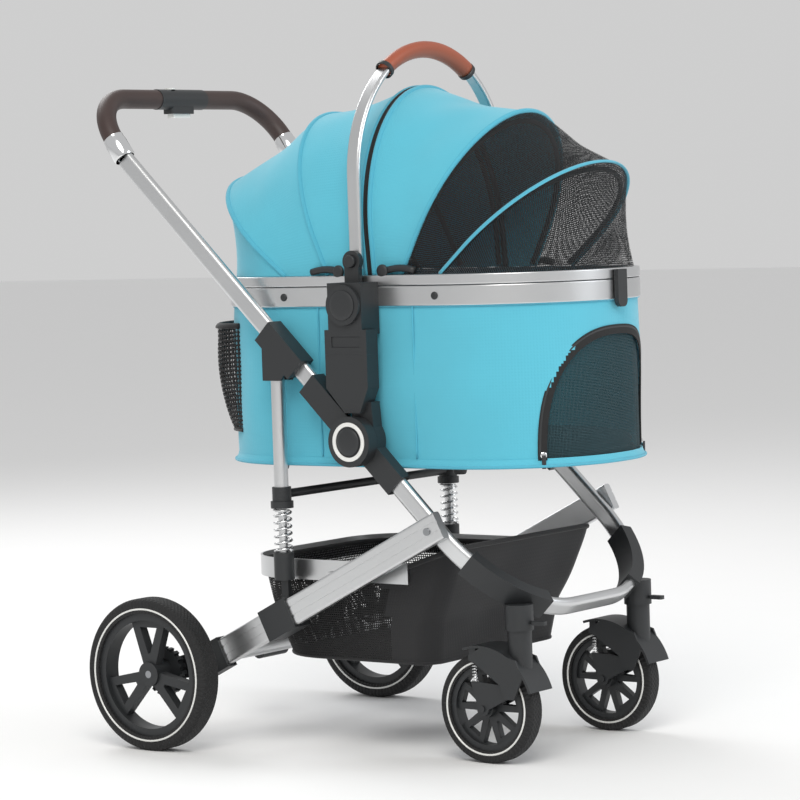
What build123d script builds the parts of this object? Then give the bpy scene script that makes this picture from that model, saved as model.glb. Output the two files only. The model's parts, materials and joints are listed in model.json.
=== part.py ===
from build123d import *

import os
from math import cos, hypot, radians, sin

# Pet stroller with a lift-off carrier. X is forwards, Y is to the left, Z is up, in millimetres.
# The origin is on the ground, under the middle of the object's box.

os.makedirs("parts", exist_ok=True)

# Clearances
gap = 0.4  # between pieces that move past each other
seat = 0.1  # between pieces of one body that are fixed together
running = 0.05  # radial, shaft in bore

# Frame tubes
hub_x, hub_z = 104.0, 507.0
frame_slope = 44.4  # side tubes, degrees below the horizontal, forwards
tube_deep, tube_wide, tube_wall = 32.0, 16.0, 1.8
tube_y = 228.0  # middle of the side tubes
tube_start = 44.0  # from the hub's axis to the end of each side tube
front_reach = 385.0  # from the hub's axis to the front of the bent tube
front_radius = 170.0
upper_reach = 657.0  # from the hub's axis to the handlebar's collar
handle_slope = 55.0
handle_rise = 127.0
handle_radius = 85.0
grip_radius = 16.5
housing_length = 120.0

# Hub casings
hub_radius = 40.0
hub_pin_radius = 8.0
hub_face_y = 262.0
sleeve_wall = 3.6
lower_sleeve_reach = 100.0
upper_sleeve_start, upper_sleeve_reach = 46.0, 130.0

# Carrier tower
tower_x, tower_width, tower_y, tower_thick = 97.0, 82.0, 237.0, 30.0
tower_split_z = 644.0
tower_shoulder_z = 683.0
tower_neck = 66.0
tongue_width, tongue_thick, tongue_length = 61.0, 15.0, 44.0
button_width, button_height, button_travel = 54.0, 16.0, 3.0

# Rear frame
pivot_reach = 196.9  # along the side tube, from the hub to the rear legs' pivot
pivot_pin_radius = 6.0
leg_slope = 26.7
leg_deep, leg_wide = 45.0, 16.5
leg_length = 505.0
cross_x = -179.0
axle_x, axle_radius = -277.0, 6.0
axle_boss_radius = 17.0

# Wheels
rear_wheel_radius, rear_wheel_width, rear_wheel_face_y = 125.0, 41.4, 330.4
rear_rim_radius = 101.0
front_wheel_radius, front_wheel_width = 87.5, 32.0
front_rim_radius = 68.0
front_axle_x, front_axle_radius = 299.7, 5.0
swivel_x, swivel_y = 357.6, 173.1
stem_radius, housing_radius = 8.0, 22.5
fender_gap, fender_wall, fender_half = 8.5, 4.0, 31.0

# Struts
strut_x, strut_y, strut_radius = -57.5, 231.5, 11.5
strut_top_z, clamp_top_z, clamp_bottom_z = 608.0, 430.0, 395.0
spring_bottom_z, foot_bottom_z, foot_pivot_z = 324.0, 280.0, 250.0
rod_radius, foot_radius, spring_radius, spring_bore = 7.0, 16.5, 16.0, 12.5
foot_travel = 8.0
bar_radius = 7.0

# Carrier
carrier_x, carrier_half_length, carrier_half_width = 87.5, 359.3, 205.0
carrier_radius = 195.0
rail_thick = 18.0
lower_rail_z, lower_rail_top, upper_rail_z, upper_rail_top = 718.0, 749.5, 750.5, 767.0
cloth_inset, cloth_wall = 6.0, 3.0
carrier_floor_z, board_thick = 464.0, 14.0

# Carry handle
handle_x, handle_pivot_z, carry_leg_y = 90.0, 790.0, 206.0
carry_arc_z, carry_wide, carry_thick = 922.0, 24.0, 10.0
knob_radius, knob_travel = 10.0, 3.0

# Canopy bows: base and top, as x and z, of each hoop
bow_base_z, bow_half_width, bow_radius, bow_straight = 772.0, 180.0, 4.0, 60.0
front_bows = {"front_zip_bow": (112.0, 92.0, 1050.0), "front_mid_bow": (165.0, 281.0, 1004.0),
              "front_low_bow": (238.0, 414.0, 923.0)}
rear_bows = {"rear_zip_bow": (98.0, 78.0, 1050.0), "rear_mid_bow": (19.0, -90.0, 1017.0),
             "rear_low_bow": (-68.0, -260.0, 923.0)}
canopy_wall = 2.0
cloth_lift = 11.0  # how far the cloth stands off the tops of the slanting bows

# Storage basket
basket_half_width, basket_floor_z, basket_wall = 203.0, 148.0, 3.0
rim_z, rim_height, rim_thick, rim_rear_x, rim_front_x = 278.0, 33.0, 3.0, -183.0, 170.0

sides = {"right": -1, "left": 1}
down = (cos(radians(frame_slope)), -sin(radians(frame_slope)))
leg_down = (-cos(radians(leg_slope)), -sin(radians(leg_slope)))
pivot_x = hub_x + pivot_reach * down[0]
pivot_z = hub_z + pivot_reach * down[1]
frame_plane = Plane(origin=(hub_x, 0, hub_z), x_dir=(down[0], 0, down[1]),
                    z_dir=(-down[1], 0, down[0]))


def side_plane(y):
    """The XZ plane at this y, with X to the right and Z up in the sketch."""
    return Plane.XZ.offset(-y)


def along(slope_x, slope_z, x, z, y, reach=0.0):
    """The plane across a side tube that starts at x, z and runs along the slope."""
    return Plane(origin=(x + reach * slope_x, y, z + reach * slope_z), x_dir=(0, 1, 0),
                 z_dir=(slope_x, 0, slope_z))


def save(part, name):
    """Labels a finished piece and writes it."""
    part.label = name
    export_step(part, f"parts/{name}.step")


def tube_section(deep, wide, wall):
    """A hollow flat-sided oval, as a sketch on the current plane."""
    RectangleRounded(wide, deep, wide / 2 - 0.2)
    RectangleRounded(wide - 2 * wall, deep - 2 * wall, wide / 2 - wall - 0.2, mode=Mode.SUBTRACT)


# The bent front tube: two sides and the front in one
with BuildPart() as lower_tube:
    with BuildLine(frame_plane) as front_path:
        FilletPolyline((tube_start, -tube_y), (front_reach, -tube_y), (front_reach, tube_y),
                       (tube_start, tube_y), radius=front_radius)
    with BuildSketch(along(*down, hub_x, hub_z, -tube_y, tube_start)):
        tube_section(tube_deep, tube_wide, tube_wall)
    sweep()
save(lower_tube.part, "lower_tube")

with BuildPart(mode=Mode.PRIVATE) as tube_envelope:
    with BuildLine(frame_plane) as envelope_path:
        FilletPolyline((tube_start, -tube_y), (front_reach, -tube_y), (front_reach, tube_y),
                       (tube_start, tube_y), radius=front_radius)
    with BuildSketch(along(*down, hub_x, hub_z, -tube_y, tube_start)):
        RectangleRounded(tube_wide + 2 * seat, tube_deep + 2 * seat, tube_wide / 2)
    sweep()

# Hub casings on the lower tube, each with the carrier's socket above it
inner_y = tube_y - tube_wide / 2 - sleeve_wall
casing_y = tube_y + tube_wide / 2 + sleeve_wall
pin_reach = hub_face_y - 4.0
sleeve_deep = tube_deep + 2 * sleeve_wall
sleeve_wide = tube_wide + 2 * sleeve_wall
pocket_bottom = tower_split_z - tongue_length - 2.0
with BuildPart() as hub_casings:
    for side in sides.values():
        with BuildSketch(side_plane(side * (inner_y + casing_y) / 2)):
            with Locations((hub_x, hub_z)):
                Circle(hub_radius)
            Polygon((hub_x - 8, hub_z + 30), (hub_x + 34, hub_z + 10), (hub_x + 30, hub_z + 62),
                    (hub_x - 8, hub_z + 62), align=None)
        extrude(amount=(casing_y - inner_y) / 2, both=True)
        with BuildSketch(along(*down, hub_x, hub_z, side * tube_y)):
            Rectangle(sleeve_wide, sleeve_deep)
        extrude(amount=lower_sleeve_reach)
        with BuildSketch(side_plane(side * tower_y)):
            with BuildLine():
                Polyline((tower_x - 6, hub_z + 45), (tower_x + 24, hub_z + 45),
                         (tower_x + tower_width / 2, hub_z + 84),
                         (tower_x + tower_width / 2, tower_split_z - seat),
                         (tower_x - tower_width / 2, tower_split_z - seat),
                         (tower_x - tower_width / 2, hub_z + 84), close=True)
            make_face()
        extrude(amount=tower_thick / 2, both=True)
        with Locations((tower_x, side * tower_y, tower_split_z)):
            Box(tongue_width + 2 * gap, tongue_thick + 2 * gap, 2 * (tower_split_z - pocket_bottom),
                mode=Mode.SUBTRACT)
        with BuildSketch(side_plane(side * casing_y)):
            with Locations((hub_x, hub_z)):
                Circle(hub_pin_radius)
        extrude(amount=-side * (pin_reach - casing_y))
    add(tube_envelope.part, mode=Mode.SUBTRACT)
save(hub_casings.part, "hub_casings")

# Corner brackets: a sleeve round each bend of the tube, with the caster's housing under it
corner_s, corner_y = front_reach - front_radius, tube_y - front_radius
housing_bottom, housing_top = 212.0, 252.0
stem_top = 240.0
with BuildPart() as corner_brackets:
    for side in sides.values():
        first_angle = -72 if side < 0 else 22
        with BuildLine(frame_plane) as bend:
            CenterArc((corner_s, side * corner_y), front_radius, first_angle, 50)
        with BuildSketch(Plane(origin=bend.line @ 0, x_dir=frame_plane.z_dir.cross(bend.line % 0),
                               z_dir=bend.line % 0)):
            Rectangle(sleeve_wide, sleeve_deep)
        sweep()
        with BuildSketch(Plane.XY.offset(housing_bottom)):
            with Locations((swivel_x, side * swivel_y)):
                Circle(housing_radius)
        extrude(amount=housing_top - housing_bottom)
    add(tube_envelope.part, mode=Mode.SUBTRACT)
    for side in sides.values():
        with BuildSketch(Plane.XY.offset(housing_bottom)):
            with Locations((swivel_x, side * swivel_y)):
                Circle(stem_radius + running)
        extrude(amount=stem_top + 1 - housing_bottom, mode=Mode.SUBTRACT)
save(corner_brackets.part, "corner_brackets")

# Pins on the lower tube that the rear legs turn on
leg_inner_y = tube_y + tube_wide / 2 + 1.5
leg_y = leg_inner_y + leg_wide / 2
with BuildPart() as leg_pins:
    for side in sides.values():
        with BuildSketch(side_plane(side * (tube_y + tube_wide / 2))):
            with Locations((pivot_x, pivot_z)):
                Circle(pivot_pin_radius)
        extrude(amount=-side * (leg_wide + 4))
save(leg_pins.part, "leg_pins")

# Upper side tubes
with BuildPart() as upper_tubes:
    for side in sides.values():
        with BuildSketch(along(-down[0], -down[1], hub_x, hub_z, side * tube_y, tube_start)):
            tube_section(tube_deep, tube_wide, tube_wall)
        extrude(amount=upper_reach - tube_start)
save(upper_tubes.part, "upper_tubes")

# Hub covers: the casing halves that turn with the upper tubes
cover_y = casing_y + gap
with BuildPart() as hub_covers:
    for side in sides.values():
        with BuildSketch(side_plane(side * (cover_y + hub_face_y) / 2)):
            with Locations((hub_x, hub_z)):
                Circle(hub_radius)
        extrude(amount=(hub_face_y - cover_y) / 2, both=True)
        outer_face = cover_y + 7.0
        with BuildSketch(along(-down[0], -down[1], hub_x, hub_z, side * (cover_y + outer_face) / 2)):
            Rectangle(outer_face - cover_y, sleeve_deep)
        extrude(amount=upper_sleeve_reach)
        with BuildSketch(along(-down[0], -down[1], hub_x, hub_z, side * (inner_y + outer_face) / 2,
                               upper_sleeve_start)):
            Rectangle(outer_face - inner_y, sleeve_deep)
        extrude(amount=upper_sleeve_reach - upper_sleeve_start)
        with BuildSketch(along(-down[0], -down[1], hub_x, hub_z, side * tube_y, tube_start - 2)):
            RectangleRounded(tube_wide + 2 * seat, tube_deep + 2 * seat, tube_wide / 2)
        extrude(amount=upper_sleeve_reach, mode=Mode.SUBTRACT)
        with BuildSketch(side_plane(side * cover_y)):
            with Locations((hub_x, hub_z)):
                Circle(hub_pin_radius + running)
        extrude(amount=-side * (pin_reach + 1 - cover_y), mode=Mode.SUBTRACT)
save(hub_covers.part, "hub_covers")

# Handlebar: a bent round tube from collar to collar, its leather, and the control housing
collar_x, collar_z = hub_x - upper_reach * down[0], hub_z - upper_reach * down[1]
rise = (-cos(radians(handle_slope)), sin(radians(handle_slope)))
bar_plane = Plane(origin=(collar_x, 0, collar_z), x_dir=(rise[0], 0, rise[1]),
                  z_dir=(rise[1], 0, -rise[0]))
bar_tube_radius = grip_radius - 4.5
bar_gap = 3.5  # the bent tube's ends stand off the side tubes' ends
housing_y = housing_length / 2


def handlebar_path():
    """The line of the handlebar, on its own plane."""
    FilletPolyline((bar_gap, -tube_y), (handle_rise, -tube_y), (handle_rise, tube_y),
                   (bar_gap, tube_y), radius=handle_radius)


bar_start = along(*rise, collar_x, collar_z, -tube_y, bar_gap)
with BuildPart() as handlebar_tube:
    with BuildLine(bar_plane):
        handlebar_path()
    with BuildSketch(bar_start):
        Circle(bar_tube_radius)
        Circle(bar_tube_radius - 2, mode=Mode.SUBTRACT)
    sweep()
save(handlebar_tube.part, "handlebar_tube")

with BuildPart() as handlebar_grip:
    with BuildLine(bar_plane):
        handlebar_path()
    with BuildSketch(bar_start):
        Circle(grip_radius)
        Circle(bar_tube_radius + seat, mode=Mode.SUBTRACT)
    sweep()
    with BuildSketch(Plane.XZ):
        with Locations((collar_x + handle_rise * rise[0], collar_z + handle_rise * rise[1])):
            Circle(3 * grip_radius)
    extrude(amount=housing_y + seat, both=True, mode=Mode.SUBTRACT)
    split(bisect_by=Plane(origin=bar_plane.from_local_coords((40, 0, 0)), z_dir=bar_plane.x_dir),
          keep=Keep.TOP)
save(handlebar_grip.part, "handlebar_grip")

bar_x, bar_z = collar_x + handle_rise * rise[0], collar_z + handle_rise * rise[1]
release_y, release_radius, release_travel = -22.0, 9.0, 2.5
trigger_length, trigger_travel = 46.0, 8.0
housing_radius_bar = grip_radius + 1.0
with BuildPart() as handlebar_housing:
    with BuildSketch(Plane.XZ):
        with Locations((bar_x, bar_z)):
            Circle(housing_radius_bar)
    extrude(amount=housing_y, both=True)
    with BuildSketch(Plane.XY.offset(bar_z - housing_radius_bar)):
        with Locations((bar_x, 0)):
            RectangleRounded(24, trigger_length + 14, 6)
    extrude(amount=7, both=True)
    with BuildSketch(Plane.XZ):
        with Locations((bar_x, bar_z)):
            Circle(bar_tube_radius + seat)
    extrude(amount=housing_y + 1, both=True, mode=Mode.SUBTRACT)
    with Locations((bar_x, release_y, bar_z + housing_radius_bar)):
        Cylinder(release_radius + gap, 8, mode=Mode.SUBTRACT)
    with Locations((bar_x, 0, bar_z - housing_radius_bar - 7)):
        Box(16 + 2 * gap, trigger_length + 2 * gap, 22, mode=Mode.SUBTRACT)
    with BuildSketch(Plane.XZ):
        with Locations((bar_x, bar_z)):
            Circle(bar_tube_radius + seat)
    extrude(amount=housing_y + 1, both=True, mode=Mode.SUBTRACT)
save(handlebar_housing.part, "handlebar_housing")

release_floor = bar_z + bar_tube_radius
with BuildPart() as handlebar_button:
    with Locations((bar_x, release_y, bar_z + housing_radius_bar + 1)):
        Cylinder(release_radius, 2.4)
save(handlebar_button.part, "handlebar_button")

with BuildPart() as handlebar_trigger:
    with Locations((bar_x, 0, bar_z - housing_radius_bar - 9.5)):
        Box(16, trigger_length, 9)
    fillet(handlebar_trigger.edges().filter_by(Axis.Z), 3)
save(handlebar_trigger.part, "handlebar_trigger")

# Strut brackets on the upper tubes
bracket_from, bracket_to = 160.0, 250.0
cheek_inner, cheek_outer = strut_y - strut_radius - gap, strut_y + strut_radius + gap
cheek_wall = 4.5
strut_pin_radius = 4.0
with BuildPart() as strut_brackets:
    for side in sides.values():
        with BuildSketch(along(-down[0], -down[1], hub_x, hub_z, side * strut_y, bracket_from)):
            Rectangle(cheek_outer - cheek_inner + 2 * cheek_wall, sleeve_deep + 2)
        extrude(amount=bracket_to - bracket_from)
        with BuildSketch(side_plane(side * strut_y)):
            with BuildLine():
                Polyline((strut_x - 18, strut_top_z - 6), (strut_x + 18, strut_top_z - 6),
                         (strut_x + 34, strut_top_z + 14), (strut_x + 20, strut_top_z + 62),
                         (strut_x - 10, strut_top_z + 62), (strut_x - 18, strut_top_z + 46), close=True)
            make_face()
        extrude(amount=(cheek_outer - cheek_inner) / 2 + cheek_wall, both=True)
        with BuildSketch(along(-down[0], -down[1], hub_x, hub_z, side * tube_y, tube_start)):
            RectangleRounded(tube_wide + 2 * seat, tube_deep + 2 * seat, tube_wide / 2)
        extrude(amount=upper_reach, mode=Mode.SUBTRACT)
        with BuildSketch(side_plane(side * strut_y)):
            with Locations((strut_x, strut_top_z)):
                Circle(strut_radius + 8)
            Polygon((strut_x - 30, strut_top_z - 20), (strut_x + 35, strut_top_z - 20),
                    (strut_x + 35, strut_top_z), (strut_x - 30, strut_top_z), align=None)
        extrude(amount=(cheek_outer - cheek_inner) / 2, both=True, mode=Mode.SUBTRACT)
        with BuildSketch(side_plane(side * strut_y)):
            with Locations((strut_x, strut_top_z)):
                Circle(strut_pin_radius)
        extrude(amount=(cheek_outer - cheek_inner) / 2 + cheek_wall, both=True)
save(strut_brackets.part, "strut_brackets")

# Rear legs: grooved flat profiles that turn on the leg pins
clevis_wall = 3.5
leg_back = 24.0  # from the pivot to the leg's front end
groove_wide, groove_deep = 3.0, 1.2
with BuildPart() as rear_legs:
    for side in sides.values():
        with BuildSketch(along(*leg_down, pivot_x, pivot_z, side * leg_y, -leg_back)):
            RectangleRounded(leg_wide, leg_deep, 4)
            with Locations((side * leg_wide / 2, leg_deep / 6), (side * leg_wide / 2, -leg_deep / 6)):
                Rectangle(2 * groove_deep, groove_wide, mode=Mode.SUBTRACT)
        extrude(amount=leg_length + leg_back)
        with BuildSketch(side_plane(side * leg_y)):
            with Locations((pivot_x, pivot_z)):
                Circle(pivot_pin_radius + running)
        extrude(amount=leg_wide, both=True, mode=Mode.SUBTRACT)
save(rear_legs.part, "rear_legs")


def leg_z(x):
    """The height of the legs' middle line at this x."""
    return pivot_z - (pivot_x - x) * sin(radians(leg_slope)) / cos(radians(leg_slope))


cross_reach = leg_inner_y - clevis_wall - seat
with BuildPart() as rear_cross_tube:
    with BuildSketch(Plane.XZ):
        with Locations((cross_x, leg_z(cross_x))):
            RectangleRounded(16, 31, 7.8)
            RectangleRounded(12.4, 27.4, 6, mode=Mode.SUBTRACT)
    extrude(amount=cross_reach, both=True)
save(rear_cross_tube.part, "rear_cross_tube")

# Clevis on each leg that takes the strut's foot
foot_reach = (pivot_x - strut_x) / cos(radians(leg_slope))
lug_inner, lug_outer = strut_y - 8.0, strut_y + 0.5
clevis_inner, clevis_outer = lug_inner - gap - 6.0, lug_inner - gap
envelope_wide, envelope_deep = leg_wide + 2 * seat, leg_deep + 2 * seat
with BuildPart() as leg_clevises:
    for side in sides.values():
        with BuildSketch(along(*leg_down, pivot_x, pivot_z, side * leg_y, foot_reach - 30)):
            Rectangle(leg_wide + 2 * clevis_wall, leg_deep + 2 * clevis_wall)
            with Locations((side * ((clevis_inner + clevis_outer) / 2 - leg_y), -2)):
                Rectangle(clevis_outer - clevis_inner, leg_deep + 2 * clevis_wall + 4)
            with Locations((side * ((clevis_inner + leg_inner_y) / 2 - leg_y), 20)):
                Rectangle(leg_inner_y - clevis_inner, 12)
            Rectangle(envelope_wide, envelope_deep, mode=Mode.SUBTRACT)
        extrude(amount=60)
save(leg_clevises.part, "leg_clevises")

# Brackets from the legs' ends to the axle, and the axle
leg_end = (pivot_x + leg_length * leg_down[0], pivot_z + leg_length * leg_down[1])
boss_y = 266.0
with BuildPart() as axle_brackets:
    for side in sides.values():
        with BuildSketch(along(*leg_down, pivot_x, pivot_z, side * leg_y, leg_length - 38)):
            Rectangle(leg_wide + 2 * clevis_wall, leg_deep + 2 * clevis_wall)
        extrude(amount=44)
        with BuildSketch(side_plane(side * leg_y)):
            with Locations((axle_x, rear_wheel_radius)):
                Circle(axle_boss_radius)
            Polygon((leg_end[0] + 4, leg_end[1] + 24), (axle_x - 4, rear_wheel_radius + axle_boss_radius),
                    (axle_x + 2, rear_wheel_radius - axle_boss_radius), (leg_end[0] + 8, leg_end[1] - 22),
                    align=None)
        extrude(amount=leg_wide / 2 + clevis_wall, both=True)
        with BuildSketch(along(*leg_down, pivot_x, pivot_z, side * leg_y, leg_length - 60)):
            Rectangle(envelope_wide, envelope_deep)
        extrude(amount=60 + seat, mode=Mode.SUBTRACT)
        with BuildSketch(side_plane(side * leg_y)):
            with Locations((axle_x, rear_wheel_radius)):
                Circle(axle_boss_radius - 3)
        extrude(amount=-side * (boss_y - leg_y))
    with BuildSketch(Plane.XZ):
        with Locations((axle_x, rear_wheel_radius)):
            Circle(axle_radius + seat)
    extrude(amount=rear_wheel_face_y, both=True, mode=Mode.SUBTRACT)
save(axle_brackets.part, "axle_brackets")

axle_end = rear_wheel_face_y - 8.0
with BuildPart() as rear_axle:
    with BuildSketch(Plane.XZ):
        with Locations((axle_x, rear_wheel_radius)):
            Circle(axle_radius)
    extrude(amount=axle_end, both=True)
save(rear_axle.part, "rear_axle")

# Rim of the storage basket, a flat band that hangs on the legs
rim_outer = basket_half_width + gap + rim_thick
rim_corner = 110.0
tab_x, tab_z, tab_size = 41.0, 288.0, 16.0
with BuildPart() as basket_rim:
    with BuildSketch(Plane.XY.offset(rim_z)):
        with Locations((rim_rear_x + 300, 0)):
            RectangleRounded(600, 2 * rim_outer, rim_corner)
            RectangleRounded(600 - 2 * rim_thick, 2 * (rim_outer - rim_thick), rim_corner - rim_thick,
                             mode=Mode.SUBTRACT)
        with Locations((rim_front_x + 250, 0)):
            Rectangle(500, 3 * rim_outer, mode=Mode.SUBTRACT)
    extrude(amount=rim_height)
    for side in sides.values():
        with Locations((tab_x, side * (rim_outer - 1 + leg_inner_y - seat) / 2, tab_z)):
            Box(tab_size, leg_inner_y - seat - rim_outer + 1, tab_size)
save(basket_rim.part, "basket_rim")

with BuildPart() as brake_pedal:
    with BuildSketch(Plane.XZ):
        with Locations((axle_x, rear_wheel_radius)):
            Circle(axle_radius + 6)
        Polygon((axle_x - 8, rear_wheel_radius + 10), (axle_x - 58, rear_wheel_radius + 30),
                (axle_x - 60, rear_wheel_radius + 22), (axle_x - 8, rear_wheel_radius - 6), align=None)
    extrude(amount=34, both=True)
    with BuildSketch(Plane.XZ):
        with Locations((axle_x, rear_wheel_radius)):
            Circle(axle_radius + running)
    extrude(amount=35, both=True, mode=Mode.SUBTRACT)
save(brake_pedal.part, "brake_pedal")

# Storage basket: an open bag between the legs
basket_rear_x = rim_rear_x + rim_thick + gap
basket_layers = []
for inset, mouth in ((0.0, rim_z + 22), (basket_wall, 400.0)):
    with BuildPart() as basket_layer:
        with BuildSketch(Plane.XZ):
            Polygon((basket_rear_x + inset, mouth - 25), (-138 + inset, basket_floor_z + inset),
                    (194 - inset, basket_floor_z + inset), (206 - inset, 205), (262 - inset, 338),
                    (262 - inset, mouth + 38), (150, mouth), align=None)
        extrude(amount=basket_half_width, both=True)
        with BuildSketch(Plane.XY.offset(basket_floor_z)):
            with Locations((basket_rear_x + inset + 300, 0)):
                RectangleRounded(600, 2 * (basket_half_width - inset), rim_corner - rim_thick - inset)
        extrude(amount=400, mode=Mode.INTERSECT)
    basket_layers.append(basket_layer.part)
with BuildPart() as storage_basket:
    add(basket_layers[0])
    add(basket_layers[1], mode=Mode.SUBTRACT)
save(storage_basket.part, "storage_basket")

# Struts, their cross bar, springs and feet
with BuildPart() as strut_tubes:
    for side in sides.values():
        with BuildSketch(Plane.XY.offset(clamp_bottom_z)):
            with Locations((strut_x, side * strut_y)):
                Circle(strut_radius)
        extrude(amount=strut_top_z - clamp_bottom_z + strut_radius)
        with BuildSketch(Plane.XY.offset(foot_bottom_z + foot_travel + 4)):
            with Locations((strut_x, side * strut_y)):
                Circle(rod_radius)
        extrude(amount=clamp_bottom_z - foot_bottom_z - foot_travel - 4)
    with BuildSketch(Plane.XZ):
        with Locations((strut_x, strut_top_z)):
            Circle(strut_pin_radius + running)
    extrude(amount=2 * strut_y, both=True, mode=Mode.SUBTRACT)
save(strut_tubes.part, "strut_tubes")

bar_height = clamp_top_z - 12.0
with BuildPart() as strut_crossbar:
    with BuildSketch(Plane.XZ):
        with Locations((strut_x, bar_height)):
            Circle(bar_radius)
    extrude(amount=strut_y, both=True)
    for side in sides.values():
        with BuildSketch(Plane.XY.offset(clamp_bottom_z + 1)):
            with Locations((strut_x, side * strut_y)):
                Circle(strut_radius + 7)
        extrude(amount=11)
        with BuildSketch(Plane.XY.offset(clamp_bottom_z + 11)):
            with Locations((strut_x, side * strut_y)):
                Circle(strut_radius + 4)
        extrude(amount=clamp_top_z - clamp_bottom_z - 11)
    for side in sides.values():
        with BuildSketch(Plane.XY.offset(clamp_bottom_z)):
            with Locations((strut_x, side * strut_y)):
                Circle(strut_radius + seat)
        extrude(amount=clamp_top_z, mode=Mode.SUBTRACT)
save(strut_crossbar.part, "strut_crossbar")

with BuildPart() as strut_springs:
    for side in sides.values():
        with BuildSketch(Plane.XY.offset(spring_bottom_z + gap)):
            with Locations((strut_x, side * strut_y)):
                Circle(spring_radius)
                Circle(spring_bore, mode=Mode.SUBTRACT)
        extrude(amount=clamp_bottom_z - spring_bottom_z - 2 * gap)
save(strut_springs.part, "strut_springs")

lug_half = 7.0
with BuildPart() as strut_feet:
    for side in sides.values():
        with BuildSketch(Plane.XY.offset(foot_bottom_z)):
            with Locations((strut_x, side * strut_y)):
                Circle(foot_radius)
        extrude(amount=spring_bottom_z - foot_bottom_z)
        with BuildSketch(side_plane(side * (lug_inner + lug_outer) / 2)):
            with Locations((strut_x, foot_pivot_z)):
                Circle(lug_half)
            with Locations((strut_x, (foot_pivot_z + foot_bottom_z + 2) / 2)):
                Rectangle(2 * lug_half, foot_bottom_z + 2 - foot_pivot_z)
        extrude(amount=(lug_outer - lug_inner) / 2, both=True)
        with BuildSketch(Plane.XY.offset(foot_bottom_z + 3)):
            with Locations((strut_x, side * strut_y)):
                Circle(rod_radius + running)
        extrude(amount=spring_bottom_z, mode=Mode.SUBTRACT)
save(strut_feet.part, "strut_feet")

# Rear wheels
rear_wheel_y = rear_wheel_face_y - rear_wheel_width / 2
gear_inner, gear_outer, gear_radius, gear_teeth = 272.0, 284.0, 36.0, 20
hub_drum = 20.0


def wheel_tyre(x, y, radius, width, rim):
    """A tyre with rounded shoulders, its axle along Y."""
    with BuildPart() as tyre:
        with BuildSketch(side_plane(y)):
            with Locations((x, radius)):
                Circle(radius)
        extrude(amount=width / 2, both=True)
        fillet(tyre.edges(), width / 5)
        with BuildSketch(side_plane(y)):
            with Locations((x, radius)):
                Circle(rim + seat)
        extrude(amount=width, both=True, mode=Mode.SUBTRACT)
    return tyre.part


def wheel_rim(x, y, radius, rim, hoop, spokes, drum, drum_faces, bore):
    """A rim with slotted spokes, its drum between two faces along Y."""
    mouth = rim - hoop
    with BuildPart() as wheel:
        with BuildSketch(side_plane(y)):
            with Locations((x, radius)):
                Circle(rim)
                Circle(mouth, mode=Mode.SUBTRACT)
        extrude(amount=hoop * 1.3, both=True)
        with BuildSketch(side_plane(y)):
            with Locations((x, radius)):
                with PolarLocations(0, spokes, start_angle=90):
                    Polygon((drum * 0.5, -drum * 0.55), (mouth + 2, -mouth * 0.42), (mouth + 2, mouth * 0.42),
                            (drum * 0.5, drum * 0.55), align=None)
                    Polygon((drum * 1.7, -drum * 0.12), (mouth * 0.86, -mouth * 0.2),
                            (mouth * 0.86, mouth * 0.2), (drum * 1.7, drum * 0.12), align=None,
                            mode=Mode.SUBTRACT)
        extrude(amount=hoop * 0.7, both=True)
        with BuildSketch(side_plane(drum_faces[0])):
            with Locations((x, radius)):
                Circle(drum)
        extrude(amount=drum_faces[0] - drum_faces[1])
        with BuildSketch(side_plane(drum_faces[0])):
            with Locations((x, radius)):
                Circle(bore)
        extrude(amount=drum_faces[0] - drum_faces[1], mode=Mode.SUBTRACT)
    return wheel.part


for name, side in sides.items():
    save(wheel_tyre(axle_x, side * rear_wheel_y, rear_wheel_radius, rear_wheel_width, rear_rim_radius),
         f"rear_tyre_{name}")
    rear_disc = wheel_rim(axle_x, side * rear_wheel_y, rear_wheel_radius, rear_rim_radius, 12, 3,
                          hub_drum, (side * gear_inner, side * axle_end), axle_radius + running)
    with BuildPart() as rear_rim:
        add(rear_disc)
        with BuildSketch(side_plane(side * gear_inner)):
            with Locations((axle_x, rear_wheel_radius)):
                Circle(gear_radius)
                with PolarLocations(gear_radius, gear_teeth):
                    Rectangle(8, 6)
                Circle(hub_drum - 4, mode=Mode.SUBTRACT)
        extrude(amount=-side * (gear_outer - gear_inner))
    save(rear_rim.part, f"rear_rim_{name}")

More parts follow.
